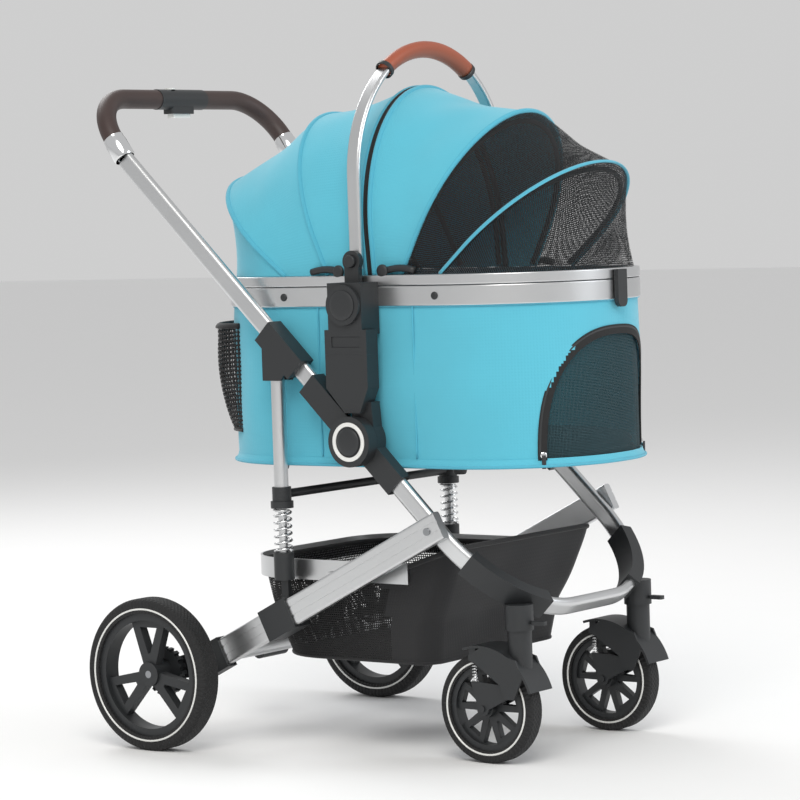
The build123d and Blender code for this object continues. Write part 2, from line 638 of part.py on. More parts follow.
# Front casters: each a fender on a stem, an arm on a spring, and a wheel
arm_pivot = (swivel_x - 4.6, 118.0)
arm_inner, arm_outer = front_wheel_width / 2 + 2.0, front_wheel_width / 2 + 8.0
cheek_from = arm_outer + 3.0
arm_pin = 4.0
spring_x, coil_y, coil_bottom, coil_top = front_axle_x - 14.0, arm_inner + 3.5, 130.0, 163.0
fender_radius = front_wheel_radius + fender_gap
crown_radius = 19.0
for name, side in sides.items():
    wheel_y = side * swivel_y
    with BuildPart() as fender:
        with BuildSketch(side_plane(wheel_y)):
            with BuildLine():
                outer = CenterArc((front_axle_x, front_wheel_radius), fender_radius + fender_wall, 18, 90)
                inner = CenterArc((front_axle_x, front_wheel_radius), fender_radius, 18, 90)
                Line(outer @ 0, inner @ 0)
                Line(outer @ 1, inner @ 1)
            make_face()
        extrude(amount=fender_half, both=True)
        for hand in (-1, 1):
            with BuildSketch(side_plane(wheel_y + hand * (cheek_from + fender_half) / 2)):
                Polygon((spring_x - 6, 172), (spring_x + 20, 186), (swivel_x + 10, 168),
                        (swivel_x + 22, 140), (swivel_x + 6, 106), (swivel_x - 12, 106),
                        (swivel_x - 20, 128), (spring_x + 8, 158), (spring_x - 6, 164), align=None)
            extrude(amount=(fender_half - cheek_from) / 2, both=True)
            with Locations((spring_x, wheel_y + hand * (arm_inner + cheek_from + 1) / 2, 174)):
                Box(12, cheek_from + 1 - arm_inner, 20)
            with BuildSketch(side_plane(wheel_y + hand * (cheek_from + 1))):
                with Locations(arm_pivot):
                    Circle(arm_pin)
            extrude(amount=hand * (cheek_from + 1 - arm_inner))
        with BuildSketch(Plane.XY.offset(150)):
            with Locations((swivel_x, wheel_y)):
                Circle(crown_radius)
        extrude(amount=housing_bottom - gap - 150)
        with BuildSketch(Plane.XY.offset(200)):
            with Locations((swivel_x, wheel_y)):
                Circle(stem_radius)
        extrude(amount=stem_top - 200)
        with BuildSketch(side_plane(wheel_y)):
            with Locations((front_axle_x, front_wheel_radius)):
                Circle(fender_radius)
        extrude(amount=arm_inner - 0.5, both=True, mode=Mode.SUBTRACT)
    save(fender.part, f"fender_{name}")

    with BuildPart() as front_arm:
        with BuildSketch(Plane.XZ.offset(-wheel_y)):
            with Locations((front_axle_x, front_wheel_radius)):
                Circle(11)
            with Locations(arm_pivot):
                Circle(9)
            Polygon((front_axle_x - 6, front_wheel_radius - 9), (arm_pivot[0] + 4, arm_pivot[1] - 8),
                    (arm_pivot[0] - 4, arm_pivot[1] + 8), (spring_x + 8, coil_bottom - gap),
                    (spring_x - 7, coil_bottom - gap), align=None)
        extrude(amount=arm_outer, both=True)
        with BuildSketch(Plane.XZ.offset(-wheel_y)):
            with Locations((front_axle_x, front_wheel_radius)):
                Circle(3 * front_wheel_radius)
        extrude(amount=arm_inner, both=True, mode=Mode.SUBTRACT)
        with BuildSketch(Plane.XZ.offset(-wheel_y)):
            with Locations((front_axle_x, front_wheel_radius)):
                Circle(front_axle_radius)
        extrude(amount=arm_outer + 3, both=True)
        with BuildSketch(Plane.XZ.offset(-wheel_y)):
            with Locations(arm_pivot):
                Circle(arm_pin + running)
        extrude(amount=arm_outer + 3, both=True, mode=Mode.SUBTRACT)
    save(front_arm.part, f"front_arm_{name}")

    with BuildPart() as front_spring:
        with BuildSketch(Plane.XY.offset(coil_bottom)):
            with Locations((spring_x, wheel_y - coil_y), (spring_x, wheel_y + coil_y)):
                Circle(5)
                Circle(2.5, mode=Mode.SUBTRACT)
        extrude(amount=coil_top - coil_bottom)
    save(front_spring.part, f"front_spring_{name}")

    save(wheel_tyre(front_axle_x, wheel_y, front_wheel_radius, front_wheel_width, front_rim_radius),
         f"front_tyre_{name}")
    drum_half = arm_inner - gap
    save(wheel_rim(front_axle_x, wheel_y, front_wheel_radius, front_rim_radius, 9, 5, 15,
                   (wheel_y + drum_half, wheel_y - drum_half), front_axle_radius + running),
         f"front_rim_{name}")

    with BuildPart() as swivel_lock:
        with Locations((swivel_x + housing_radius + 14, wheel_y, 224)):
            Box(24, 12, 6)
        fillet(swivel_lock.edges().filter_by(Axis.Z), 3)
    save(swivel_lock.part, f"swivel_lock_{name}")


# Carrier rails, cloth body and floor
def carrier_outline(inset):
    """The carrier's plan shape, drawn in from the rails' outer face."""
    RectangleRounded(2 * (carrier_half_length - inset), 2 * (carrier_half_width - inset),
                     carrier_radius - inset)


rails = {"carrier_lower_rail": (lower_rail_z, lower_rail_top),
         "carrier_upper_rail": (upper_rail_z, upper_rail_top)}
for name, (low, high) in rails.items():
    with BuildPart() as rail:
        with BuildSketch(Plane.XY.offset(low)):
            with Locations((carrier_x, 0)):
                carrier_outline(0)
        extrude(amount=high - low)
        fillet(rail.faces().filter_by(Axis.Z).edges(), 2)
        with BuildSketch(Plane.XY.offset(low)):
            with Locations((carrier_x, 0)):
                carrier_outline(rail_thick)
        extrude(amount=high - low, mode=Mode.SUBTRACT)
    save(rail.part, name)

with BuildPart() as carrier_body:
    with BuildSketch(Plane.XY.offset(carrier_floor_z)):
        with Locations((carrier_x, 0)):
            carrier_outline(cloth_inset)
    extrude(amount=lower_rail_z - seat - carrier_floor_z)
    with BuildSketch(Plane.XY.offset(carrier_floor_z + cloth_wall)):
        with Locations((carrier_x, 0)):
            carrier_outline(cloth_inset + cloth_wall)
    extrude(amount=lower_rail_z, mode=Mode.SUBTRACT)
save(carrier_body.part, "carrier_body")

with BuildPart() as carrier_floor:
    with BuildSketch(Plane.XY.offset(carrier_floor_z + cloth_wall + seat)):
        with Locations((carrier_x, 0)):
            carrier_outline(cloth_inset + cloth_wall + 6)
    extrude(amount=board_thick)
    fillet(carrier_floor.faces().sort_by(Axis.Z)[-1].edges(), 4)
save(carrier_floor.part, "carrier_floor")

# Adapters: they hold the carrier by its lower rail and stand in the frame's sockets
adapter_top = 757.0
adapter_inner = carrier_half_width + seat
adapter_outer = tower_y + tower_thick / 2
button_z = 664.0
button_thick, button_pocket = 5.0, 10.0
disc_z, disc_radius, disc_proud = 722.0, 32.0, 6.0
with BuildPart() as carrier_adapters:
    for side in sides.values():
        with BuildSketch(side_plane(side * tower_y)):
            with Locations((tower_x, (tower_split_z + tower_shoulder_z) / 2)):
                Rectangle(tower_width, tower_shoulder_z - tower_split_z)
        extrude(amount=tower_thick / 2, both=True)
        with BuildSketch(side_plane(side * (adapter_inner + adapter_outer) / 2)):
            with Locations((tower_x, (tower_shoulder_z - 8 + adapter_top) / 2)):
                Rectangle(tower_neck, adapter_top - tower_shoulder_z + 8)
        extrude(amount=(adapter_outer - adapter_inner) / 2, both=True)
        with Locations((tower_x, side * tower_y, tower_split_z - tongue_length / 2 + 1)):
            Box(tongue_width, tongue_thick, tongue_length + 2)
        with BuildSketch(side_plane(side * adapter_outer)):
            with Locations((tower_x, disc_z)):
                Circle(disc_radius)
        extrude(amount=-side * disc_proud)
        with Locations((tower_x, side * (adapter_outer - button_pocket / 2 + 0.5), button_z)):
            Box(button_width + 2 * gap, button_pocket + 1, button_height + 2 * gap, mode=Mode.SUBTRACT)
save(carrier_adapters.part, "carrier_adapters")

for name, side in sides.items():
    with BuildPart() as release_button:
        with Locations((tower_x, side * (adapter_outer - 1 - button_thick / 2), button_z)):
            Box(button_width, button_thick, button_height)
        fillet(release_button.edges().filter_by(Axis.Y), 2)
    save(release_button.part, f"release_button_{name}")

# Carry handle and its knuckles
leg_outer_y = carry_leg_y + carry_thick / 2
cheek_y, cheek_out = leg_outer_y + gap, leg_outer_y + 10.0
knuckle_half = 14.0
handle_pin = 5.0
knob_pocket = 5.0
with BuildPart() as carry_knuckles:
    for side in sides.values():
        with BuildSketch(side_plane(side * (cheek_y + cheek_out) / 2)):
            with Locations((handle_x, handle_pivot_z)):
                Circle(17)
            with Locations((handle_x, (adapter_top + seat + handle_pivot_z) / 2)):
                Rectangle(2 * knuckle_half, handle_pivot_z - adapter_top - seat)
        extrude(amount=(cheek_out - cheek_y) / 2, both=True)
        with BuildSketch(side_plane(side * cheek_y)):
            with Locations((handle_x, handle_pivot_z)):
                Circle(handle_pin)
        extrude(amount=side * (carry_thick + gap))
        with BuildSketch(side_plane(side * cheek_out)):
            with Locations((handle_x, handle_pivot_z)):
                Circle(knob_radius + gap)
        extrude(amount=side * knob_pocket, mode=Mode.SUBTRACT)
save(carry_knuckles.part, "carry_knuckles")

for name, side in sides.items():
    with BuildPart() as carry_knob:
        with BuildSketch(side_plane(side * (cheek_out - knob_pocket + knob_travel + gap))):
            with Locations((handle_x, handle_pivot_z)):
                Circle(knob_radius)
        extrude(amount=-side * 8)
        fillet(carry_knob.edges().filter_by(GeomType.CIRCLE).sort_by(Axis.Y)[0 if side < 0 else -1], 2)
    save(carry_knob.part, f"carry_knob_{name}")

leg_foot = handle_pivot_z - 12.0
with BuildPart() as carry_handle:
    with BuildLine(Plane.YZ.offset(handle_x)) as carry_path:
        Line((-carry_leg_y, leg_foot), (-carry_leg_y, carry_arc_z))
        CenterArc((0, carry_arc_z), carry_leg_y, 180, -180)
        Line((carry_leg_y, carry_arc_z), (carry_leg_y, leg_foot))
    with BuildSketch(Plane.XY.offset(leg_foot)):
        with Locations((handle_x, -carry_leg_y)):
            RectangleRounded(carry_wide, carry_thick, 4.5)
    sweep()
    with BuildSketch(Plane.XZ):
        with Locations((handle_x, handle_pivot_z)):
            Circle(handle_pin + running)
    extrude(amount=2 * carry_leg_y, both=True, mode=Mode.SUBTRACT)
save(carry_handle.part, "carry_handle")

# Front latch over both rails
latch_gap, latch_front, latch_bottom, latch_top = 1.2, 455.7, 706.0, 765.0
rail_front = carrier_x + carrier_half_length
with BuildPart() as front_latch:
    with Locations(((rail_front + latch_gap + latch_front) / 2, 0, (latch_bottom + latch_top) / 2)):
        Box(latch_front - rail_front - latch_gap, 26, latch_top - latch_bottom)
    fillet(front_latch.edges().filter_by(Axis.X).group_by(Axis.Z)[0], 10)
save(front_latch.part, "front_latch")


# Canopy bows and the cloth over them
def bow_plane(base_x, base_z, top_x, top_z):
    """The plane of one bow: sketch X along Y, sketch Y from the bow's base to its top."""
    length = hypot(top_x - base_x, top_z - base_z)
    lean = ((top_x - base_x) / length, (top_z - base_z) / length)
    return Plane(origin=(base_x, 0, base_z), x_dir=(0, 1, 0), z_dir=(lean[1], 0, -lean[0])), length


for name, (base_x, top_x, top_z) in {**front_bows, **rear_bows}.items():
    plane, length = bow_plane(base_x, bow_base_z, top_x, top_z)
    with BuildPart() as bow:
        with BuildLine(plane) as bow_path:
            Line((-bow_half_width, 0), (-bow_half_width, bow_straight))
            EllipticalCenterArc((0, bow_straight), bow_half_width, length - bow_straight, 0,
                                arc_size=180)
            Line((bow_half_width, bow_straight), (bow_half_width, 0))
        with BuildSketch(Plane(origin=plane.from_local_coords((-bow_half_width, 0, 0)),
                               x_dir=plane.x_dir, z_dir=plane.y_dir)):
            Circle(bow_radius)
        sweep()
    save(bow.part, name)


def canopy_face(base_x, base_z, top_x, top_z, straight, grow):
    """The closed arch under the cloth at one bow, grown outwards by grow."""
    plane, length = bow_plane(base_x, base_z, top_x, top_z)
    half = bow_half_width + grow
    with BuildSketch(plane) as arch:
        with BuildLine():
            Line((half, 0), (half, straight))
            EllipticalCenterArc((0, straight), half, length + grow + cloth_lift - straight, 0, arc_size=180)
            Line((-half, straight), (-half, 0))
            Line((-half, 0), (half, 0))
        make_face()
    return arch.sketch.face()


cloth_base = upper_rail_top + gap
canopies = {
    "front_canopy": [*front_bows.values(), (rail_front - carrier_radius, rail_front - 9, cloth_base)],
    "rear_canopy": [*rear_bows.values(), (carrier_x - carrier_half_length + carrier_radius,
                                          carrier_x - carrier_half_length + 9, cloth_base)]}
for name, bows in canopies.items():
    cloth_inner = bow_radius + gap
    solids = []
    for grow in (cloth_inner + canopy_wall, cloth_inner):
        faces = [canopy_face(base_x, cloth_base, top_x, top_z, 2 if top_z == cloth_base else bow_straight,
                             grow) for base_x, top_x, top_z in bows]
        with BuildPart() as layer:
            loft(faces, ruled=True)
        solids.append(layer.part)
    with BuildPart() as canopy:
        add(solids[0])
        add(solids[1], mode=Mode.SUBTRACT)
    save(canopy.part, name)
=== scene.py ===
"""The looks of a pet stroller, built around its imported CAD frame. Sizes are in metres unless a name says mm."""

import json
import logging
import math
from dataclasses import dataclass
from enum import Enum
from typing import Callable, Sequence

import bpy
from mathutils import Matrix, Vector, noise

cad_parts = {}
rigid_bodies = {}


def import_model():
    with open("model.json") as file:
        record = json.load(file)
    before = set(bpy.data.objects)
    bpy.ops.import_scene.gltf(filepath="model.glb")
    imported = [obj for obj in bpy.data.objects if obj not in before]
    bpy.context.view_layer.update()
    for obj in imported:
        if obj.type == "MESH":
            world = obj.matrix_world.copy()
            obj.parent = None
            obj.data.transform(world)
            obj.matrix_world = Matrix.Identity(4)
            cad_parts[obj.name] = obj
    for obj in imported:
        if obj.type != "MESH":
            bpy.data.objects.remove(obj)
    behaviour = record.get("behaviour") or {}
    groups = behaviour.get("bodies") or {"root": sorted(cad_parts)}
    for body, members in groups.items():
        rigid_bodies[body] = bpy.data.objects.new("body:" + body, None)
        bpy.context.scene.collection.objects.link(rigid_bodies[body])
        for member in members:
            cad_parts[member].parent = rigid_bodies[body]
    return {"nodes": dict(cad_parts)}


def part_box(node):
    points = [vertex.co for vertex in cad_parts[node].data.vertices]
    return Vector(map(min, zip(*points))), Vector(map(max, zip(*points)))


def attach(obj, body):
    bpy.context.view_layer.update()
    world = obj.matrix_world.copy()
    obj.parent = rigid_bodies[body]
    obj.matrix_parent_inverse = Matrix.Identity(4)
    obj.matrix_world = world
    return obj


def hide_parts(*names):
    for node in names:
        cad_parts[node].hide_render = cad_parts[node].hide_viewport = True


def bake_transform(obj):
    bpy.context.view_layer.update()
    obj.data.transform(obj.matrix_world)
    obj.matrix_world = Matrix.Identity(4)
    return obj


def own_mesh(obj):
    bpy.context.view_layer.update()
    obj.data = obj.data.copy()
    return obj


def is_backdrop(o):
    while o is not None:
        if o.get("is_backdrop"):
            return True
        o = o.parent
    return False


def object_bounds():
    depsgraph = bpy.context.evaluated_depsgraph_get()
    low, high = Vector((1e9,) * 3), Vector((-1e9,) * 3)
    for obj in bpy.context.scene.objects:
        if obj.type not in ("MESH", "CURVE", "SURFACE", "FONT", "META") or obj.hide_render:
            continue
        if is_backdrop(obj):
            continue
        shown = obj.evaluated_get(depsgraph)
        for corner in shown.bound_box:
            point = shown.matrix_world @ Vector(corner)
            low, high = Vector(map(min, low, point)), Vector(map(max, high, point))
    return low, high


Point = tuple[float, float, float]
SIDES = {"right": -1, "left": 1}
LOG = logging.getLogger("stroller")


def linear(code: str) -> tuple[float, float, float, float]:
    """Turns an sRGB hex colour into linear RGBA.

    Args:
        code: The colour as six hex digits.

    Returns:
        The colour that a shader socket takes.
    """
    parts = [int(code[i:i + 2], 16) / 255 for i in (0, 2, 4)]
    return tuple(p / 12.92 if p <= 0.04045 else ((p + 0.055) / 1.055) ** 2.4 for p in parts) + (1.0,)


def add_node(tree: bpy.types.NodeTree, kind: str, settings: dict | None = None,
             links: dict | None = None) -> bpy.types.Node:
    """Adds a shader node with its settings, values and links.

    Args:
        tree: The material's node tree.
        kind: The node's type, without its ShaderNode prefix.
        settings: Attributes of the node.
        links: Input name or number to a value or to an output socket.

    Returns:
        The new node.
    """
    made = tree.nodes.new("ShaderNode" + kind)
    for key, value in (settings or {}).items():
        setattr(made, key, value)
    for key, value in (links or {}).items():
        if isinstance(value, bpy.types.NodeSocket):
            tree.links.new(value, made.inputs[key])
        else:
            made.inputs[key].default_value = value
    return made


@dataclass(frozen=True)
class Finish:
    """A surface finish: what the thing is made of and how its surface was made."""

    name: str
    colour: str
    roughness: float = 0.5
    metallic: float = 0.0
    grain_mm: float = 1.0
    bump_mm: float = 0.05
    variation: float = 0.12
    stretch: Point = (1.0, 1.0, 1.0)
    sheen: float = 0.0
    coat: float = 0.0

    def start(self) -> tuple[bpy.types.Material, bpy.types.NodeTree, bpy.types.NodeSocket]:
        """Makes an empty node material.

        Returns:
            The material, its tree and its Object coordinates.
        """
        material = bpy.data.materials.new(self.name)
        material.use_nodes = True
        tree = material.node_tree
        tree.nodes.clear()
        place = add_node(tree, "TexCoord").outputs["Object"]
        return material, tree, place

    def shade(self, tree: bpy.types.NodeTree, place: bpy.types.NodeSocket,
              height: bpy.types.NodeSocket, depth_mm: float) -> bpy.types.Node:
        """Adds the shader with mottled colour and roughness over a height pattern.

        Args:
            tree: The material's node tree.
            place: The coordinates that the mottling reads.
            height: The pattern that the bump follows.
            depth_mm: The pattern's depth.

        Returns:
            The shader node.
        """
        mottle = add_node(tree, "TexNoise", None, {"Vector": place, "Scale": 9.0, "Detail": 4.0})
        base = linear(self.colour)
        dark = tuple(c * (1 - self.variation) for c in base[:3]) + (1.0,)
        light = tuple(min(1.0, c * (1 + self.variation)) for c in base[:3]) + (1.0,)
        tone = add_node(tree, "Mix", {"data_type": "RGBA"}, {0: mottle.outputs["Fac"], 6: dark, 7: light})
        rough = add_node(tree, "MapRange", None, {"Value": mottle.outputs["Fac"],
                         "To Min": max(0.02, self.roughness - 0.06), "To Max": min(1, self.roughness + 0.06)})
        bump = add_node(tree, "Bump", None, {"Height": height, "Distance": depth_mm / 1000, "Strength": 0.6})
        shader = add_node(tree, "BsdfPrincipled", None, {
            "Base Color": tone.outputs[2], "Roughness": rough.outputs[0], "Metallic": self.metallic,
            "Normal": bump.outputs[0], "Sheen Weight": self.sheen, "Coat Weight": self.coat,
            "Coat Roughness": 0.2})
        return shader

    def build(self) -> bpy.types.Material:
        """Builds the finish with a fine noise grain, as moulded, anodised or cast surfaces have."""
        material, tree, place = self.start()
        turned = add_node(tree, "Mapping", None, {"Vector": place, "Scale": self.stretch})
        grain = add_node(tree, "TexNoise", None, {"Vector": turned.outputs[0], "Scale": 1000 / self.grain_mm,
                                                  "Detail": 3.0})
        shader = self.shade(tree, place, grain.outputs["Fac"], self.bump_mm)
        add_node(tree, "OutputMaterial", None, {"Surface": shader.outputs[0]})
        return material


@dataclass(frozen=True)
class Woven(Finish):
    """Plain-woven cloth: two crossed sets of threads, drawn coarser than life so that they show."""

    thread_mm: float = 1.6

    def build(self) -> bpy.types.Material:
        """Builds the weave on the piece's own UV map, whose unit is a metre."""
        material, tree, place = self.start()
        sheet = add_node(tree, "TexCoord").outputs["UV"]
        waves = [add_node(tree, "TexWave", {"bands_direction": axis}, {
            "Vector": sheet, "Scale": 100 / self.thread_mm, "Distortion": 0.6, "Detail": 1.0})
            for axis in ("X", "Y")]
        weave = add_node(tree, "Math", {"operation": "MULTIPLY"},
                         {0: waves[0].outputs["Fac"], 1: waves[1].outputs["Fac"]})
        shader = self.shade(tree, place, weave.outputs[0], self.bump_mm)
        add_node(tree, "OutputMaterial", None, {"Surface": shader.outputs[0]})
        return material


@dataclass(frozen=True)
class Netting(Finish):
    """Knitted polyester net with round holes, seen through in part."""

    cell_mm: float = 3.4
    hole: float = 0.42

    def build(self) -> bpy.types.Material:
        """Builds the net's holes from cells on the piece's own UV map."""
        material, tree, place = self.start()
        sheet = add_node(tree, "TexCoord").outputs["UV"]
        cells = add_node(tree, "TexVoronoi", {"feature": "F1"},
                         {"Vector": sheet, "Scale": 1000 / self.cell_mm, "Randomness": 0.12})
        holes = add_node(tree, "Math", {"operation": "LESS_THAN"}, {0: cells.outputs["Distance"], 1: self.hole})
        shader = self.shade(tree, place, cells.outputs["Distance"], self.bump_mm)
        clear = add_node(tree, "BsdfTransparent")
        mixed = add_node(tree, "MixShader", None, {0: holes.outputs[0], 1: shader.outputs[0],
                                                   2: clear.outputs[0]})
        add_node(tree, "OutputMaterial", None, {"Surface": mixed.outputs[0]})
        return material


@dataclass(frozen=True)
class Tread(Finish):
    """Foam rubber with a diamond knurl moulded round one wheel."""

    centre: Point = (0.0, 0.0, 0.0)
    radius: float = 0.1
    pitch_mm: float = 7.0

    def build(self) -> bpy.types.Material:
        """Builds the knurl from the angle round the wheel's axle and the place across it."""
        material, tree, place = self.start()
        moved = add_node(tree, "VectorMath", {"operation": "SUBTRACT"}, {0: place, 1: self.centre})
        split = add_node(tree, "SeparateXYZ", None, {0: moved.outputs[0]})
        turn = add_node(tree, "Math", {"operation": "ARCTAN2"}, {0: split.outputs["Z"], 1: split.outputs["X"]})
        count = round(2 * math.pi * self.radius * 1000 / self.pitch_mm)
        round_it = add_node(tree, "Math", {"operation": "MULTIPLY"}, {0: turn.outputs[0], 1: float(count)})
        across = add_node(tree, "Math", {"operation": "MULTIPLY"},
                          {0: split.outputs["Y"], 1: 2 * math.pi * 1000 / self.pitch_mm})
        crests = []
        for way in ("ADD", "SUBTRACT"):
            mixed = add_node(tree, "Math", {"operation": way}, {0: round_it.outputs[0], 1: across.outputs[0]})
            crests.append(add_node(tree, "Math", {"operation": "SINE"}, {0: mixed.outputs[0]}))
        knurl = add_node(tree, "Math", {"operation": "MAXIMUM"},
                         {0: crests[0].outputs[0], 1: crests[1].outputs[0]})
        shader = self.shade(tree, place, knurl.outputs[0], self.bump_mm)
        add_node(tree, "OutputMaterial", None, {"Surface": shader.outputs[0]})
        return material


class Look(Enum):
    """The object's finishes."""

    # Clear-anodised extrusion: bright, satin, with draw lines along it.
    ANODISED = Finish("anodised_aluminium", "D2D3D4", 0.32, 1.0, 0.8, 0.02, 0.05, (0.15, 1.0, 1.0))
    # Glass-filled nylon: near black, with a fine spark-eroded grain.
    NYLON = Finish("black_moulded_nylon", "26282A", 0.48, 0.0, 0.9, 0.06, 0.1)
    # Plated steel: mirror bright.
    CHROME = Finish("chrome_plated_steel", "E2E3E4", 0.1, 1.0, 1.0, 0.005, 0.02)
    STEEL = Finish("drawn_steel", "9A9C9F", 0.35, 1.0, 0.6, 0.02, 0.06)
    # Sprayed silver-white plastic of the rings and the handlebar's controls.
    SILVER = Finish("silver_sprayed_plastic", "E6E6E3", 0.3, 0.1, 0.7, 0.01, 0.03, coat=0.4)
    DARK_LEATHER = Finish("dark_brown_leather", "3B2C29", 0.5, 0.0, 2.2, 0.25, 0.18)
    TAN_LEATHER = Finish("tan_leather", "9C4F35", 0.42, 0.0, 2.4, 0.22, 0.16)
    # Waxed thread of the carry handle's seam.
    THREAD = Finish("orange_red_thread", "B24A2E", 0.7, 0.0, 0.5, 0.1, 0.1)
    # Polyester, 600 denier, piece-dyed turquoise: matt, with a soft sheen at its edges.
    CLOTH = Woven("turquoise_polyester", "55B4CA", 0.85, 0.0, 1.0, 0.22, 0.07, sheen=0.25)
    PIPING = Woven("turquoise_piping", "4CA9C1", 0.8, 0.0, 1.0, 0.2, 0.06, sheen=0.2)
    BLACK_CLOTH = Woven("black_polyester", "1C1C1E", 0.85, 0.0, 1.0, 0.25, 0.2, sheen=0.15)
    NET = Netting("black_net", "1E2022", 0.8, 0.0, 1.0, 0.2, 0.1)
    COARSE_NET = Netting("coarse_black_net", "19191A", 0.8, 0.0, 1.0, 0.3, 0.1, cell_mm=7.0, hole=0.36)
    # Fine dark-teal net of the door, tight enough to look nearly solid from outside.
    DOOR_NET = Netting("dark_teal_fine_net", "1F3D44", 0.75, 0.0, 1.0, 0.15, 0.1, cell_mm=2.4, hole=0.36)
    BASKET_NET = Netting("black_basket_net", "1B1B1C", 0.8, 0.0, 1.0, 0.25, 0.1, cell_mm=4.0, hole=0.33)
    ZIP = Finish("black_zip_tape", "141415", 0.75, 0.0, 1.6, 0.35, 0.15)


class Palette:
    """Builds each finish once and hands it to the pieces."""

    def __init__(self) -> None:
        """Starts with nothing built."""
        self.made: dict[Finish, bpy.types.Material] = {}

    def get(self, finish: Finish) -> bpy.types.Material:
        """Returns the finish's material, built on first use."""
        if finish not in self.made:
            self.made[finish] = finish.build()
        return self.made[finish]

    def dress(self, piece: bpy.types.Object, finish: Finish) -> None:
        """Gives the whole piece one finish."""
        piece.data.materials.clear()
        piece.data.materials.append(self.get(finish))


PALETTE = Palette()


def deselect() -> None:
    """Leaves object mode with nothing selected."""
    if bpy.context.object and bpy.context.object.mode != "OBJECT":
        bpy.ops.object.mode_set(mode="OBJECT")
    bpy.ops.object.select_all(action="DESELECT")


def make_active(piece: bpy.types.Object) -> None:
    """Selects only this piece and makes it active."""
    deselect()
    piece.select_set(True)
    bpy.context.view_layer.objects.active = piece


def settle(piece: bpy.types.Object, angle: float = 35.0) -> bpy.types.Object:
    """Applies the piece's place and modifiers and smooths its shading.

    Args:
        piece: The finished piece.
        angle: Edges sharper than this stay sharp, in degrees.

    Returns:
        The same piece.
    """
    make_active(piece)
    bpy.ops.object.transform_apply(location=True, rotation=True, scale=True)
    for modifier in list(piece.modifiers):
        bpy.ops.object.modifier_apply(modifier=modifier.name)
    bpy.ops.object.shade_smooth_by_angle(angle=math.radians(angle))
    return piece


def finish_piece(piece: bpy.types.Object, look: Look | Finish, body: str) -> bpy.types.Object:
    """Dresses a piece and makes it ride on a body.

    Args:
        piece: The finished piece.
        look: Its finish.
        body: The CAD body that carries it.

    Returns:
        The same piece.
    """
    PALETTE.dress(piece, look.value if isinstance(look, Look) else look)
    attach(piece, body)
    LOG.info("%s: %d faces on %s", piece.name, len(piece.data.polygons), body)
    return piece


def sheet_mesh(name: str, rows: Sequence[Sequence[Vector]], keep: Callable[[Vector], bool] | None = None,
               thickness: float = 0.0, loop: bool = False) -> bpy.types.Object:
    """Makes a sheet from rows of points, with a UV map in metres.

    Args:
        name: The piece's name.
        rows: Rows of the same number of points.
        keep: Says from a face's middle whether the face stays.
        thickness: The wall that Solidify gives it.
        loop: Whether each row closes on itself.

    Returns:
        The new piece.
    """
    count = len(rows[0])
    points = [p for row in rows for p in row]
    along = [0.0]
    for a, b in zip(rows[len(rows) // 2], list(rows[len(rows) // 2][1:]) + [rows[len(rows) // 2][0]]):
        along.append(along[-1] + (b - a).length)
    up = [0.0]
    for a, b in zip(rows, rows[1:]):
        up.append(up[-1] + (b[count // 2] - a[count // 2]).length)
    faces, coords = [], []
    for i in range(len(rows) - 1):
        for j in range(count if loop else count - 1):
            k = (j + 1) % count
            corners = [(i, j), (i, k), (i + 1, k), (i + 1, j)]
            face = [r * count + c for r, c in corners]
            middle = sum((points[v] for v in face), Vector()) / 4
            if keep and not keep(middle):
                continue
            faces.append(face)
            coords += [(along[j], up[i]), (along[j + 1], up[i]), (along[j + 1], up[i + 1]), (along[j], up[i + 1])]
    mesh = bpy.data.meshes.new(name)
    mesh.from_pydata([tuple(p) for p in points], [], faces)
    layer = mesh.uv_layers.new(name="UVMap")
    for index, uv in enumerate(coords):
        layer.data[index].uv = uv
    piece = bpy.data.objects.new(name, mesh)
    bpy.context.scene.collection.objects.link(piece)
    make_active(piece)
    bpy.ops.object.mode_set(mode="EDIT")
    bpy.ops.mesh.select_all(action="SELECT")
    bpy.ops.mesh.delete_loose()
    bpy.ops.mesh.select_all(action="SELECT")
    bpy.ops.mesh.remove_doubles(threshold=1e-6)
    bpy.ops.mesh.normals_make_consistent(inside=False)
    bpy.ops.object.mode_set(mode="OBJECT")
    if thickness:
        solid = piece.modifiers.new("wall", "SOLIDIFY")
        solid.thickness, solid.offset = thickness, 0.0
    return settle(piece, 50)


def close_ends(piece: bpy.types.Object) -> None:
    """Fills the open ends of a piece and turns its faces outwards."""
    make_active(piece)
    bpy.ops.object.mode_set(mode="EDIT")
    bpy.ops.mesh.select_all(action="DESELECT")
    bpy.ops.mesh.select_non_manifold()
    bpy.ops.mesh.edge_face_add()
    bpy.ops.mesh.select_all(action="SELECT")
    bpy.ops.mesh.normals_make_consistent(inside=False)
    bpy.ops.object.mode_set(mode="OBJECT")


def tube_along(name: str, path: Sequence[Vector], radius: float, across: int = 10,
               flat: float = 1.0, closed: bool = False) -> bpy.types.Object:
    """Makes a round or flattened tube along a line of points, with closed ends.

    Args:
        name: The piece's name.
        path: The line's points.
        radius: The tube's radius, in the first cross direction.
        across: The number of sides.
        flat: The second cross direction's share of the radius.
        closed: Whether the line is a ring.

    Returns:
        The new piece.
    """
    rings, previous = [], None
    last = len(path) - 1
    for i, p in enumerate(path):
        ahead = path[(i + 1) % len(path)] if closed else path[min(i + 1, last)]
        behind = path[i - 1] if closed or i else path[0]
        way = (ahead - behind).normalized()
        guess = previous or way.orthogonal().normalized()
        one = (guess - way * guess.dot(way)).normalized()
        two = way.cross(one)
        previous = one
        rings.append([p + one * math.cos(2 * math.pi * k / across) * radius
                      + two * math.sin(2 * math.pi * k / across) * radius * flat for k in range(across)])
    if closed:
        rings.append(rings[0])
    piece = sheet_mesh(name, rings, loop=True)
    if not closed:
        close_ends(piece)
    return piece


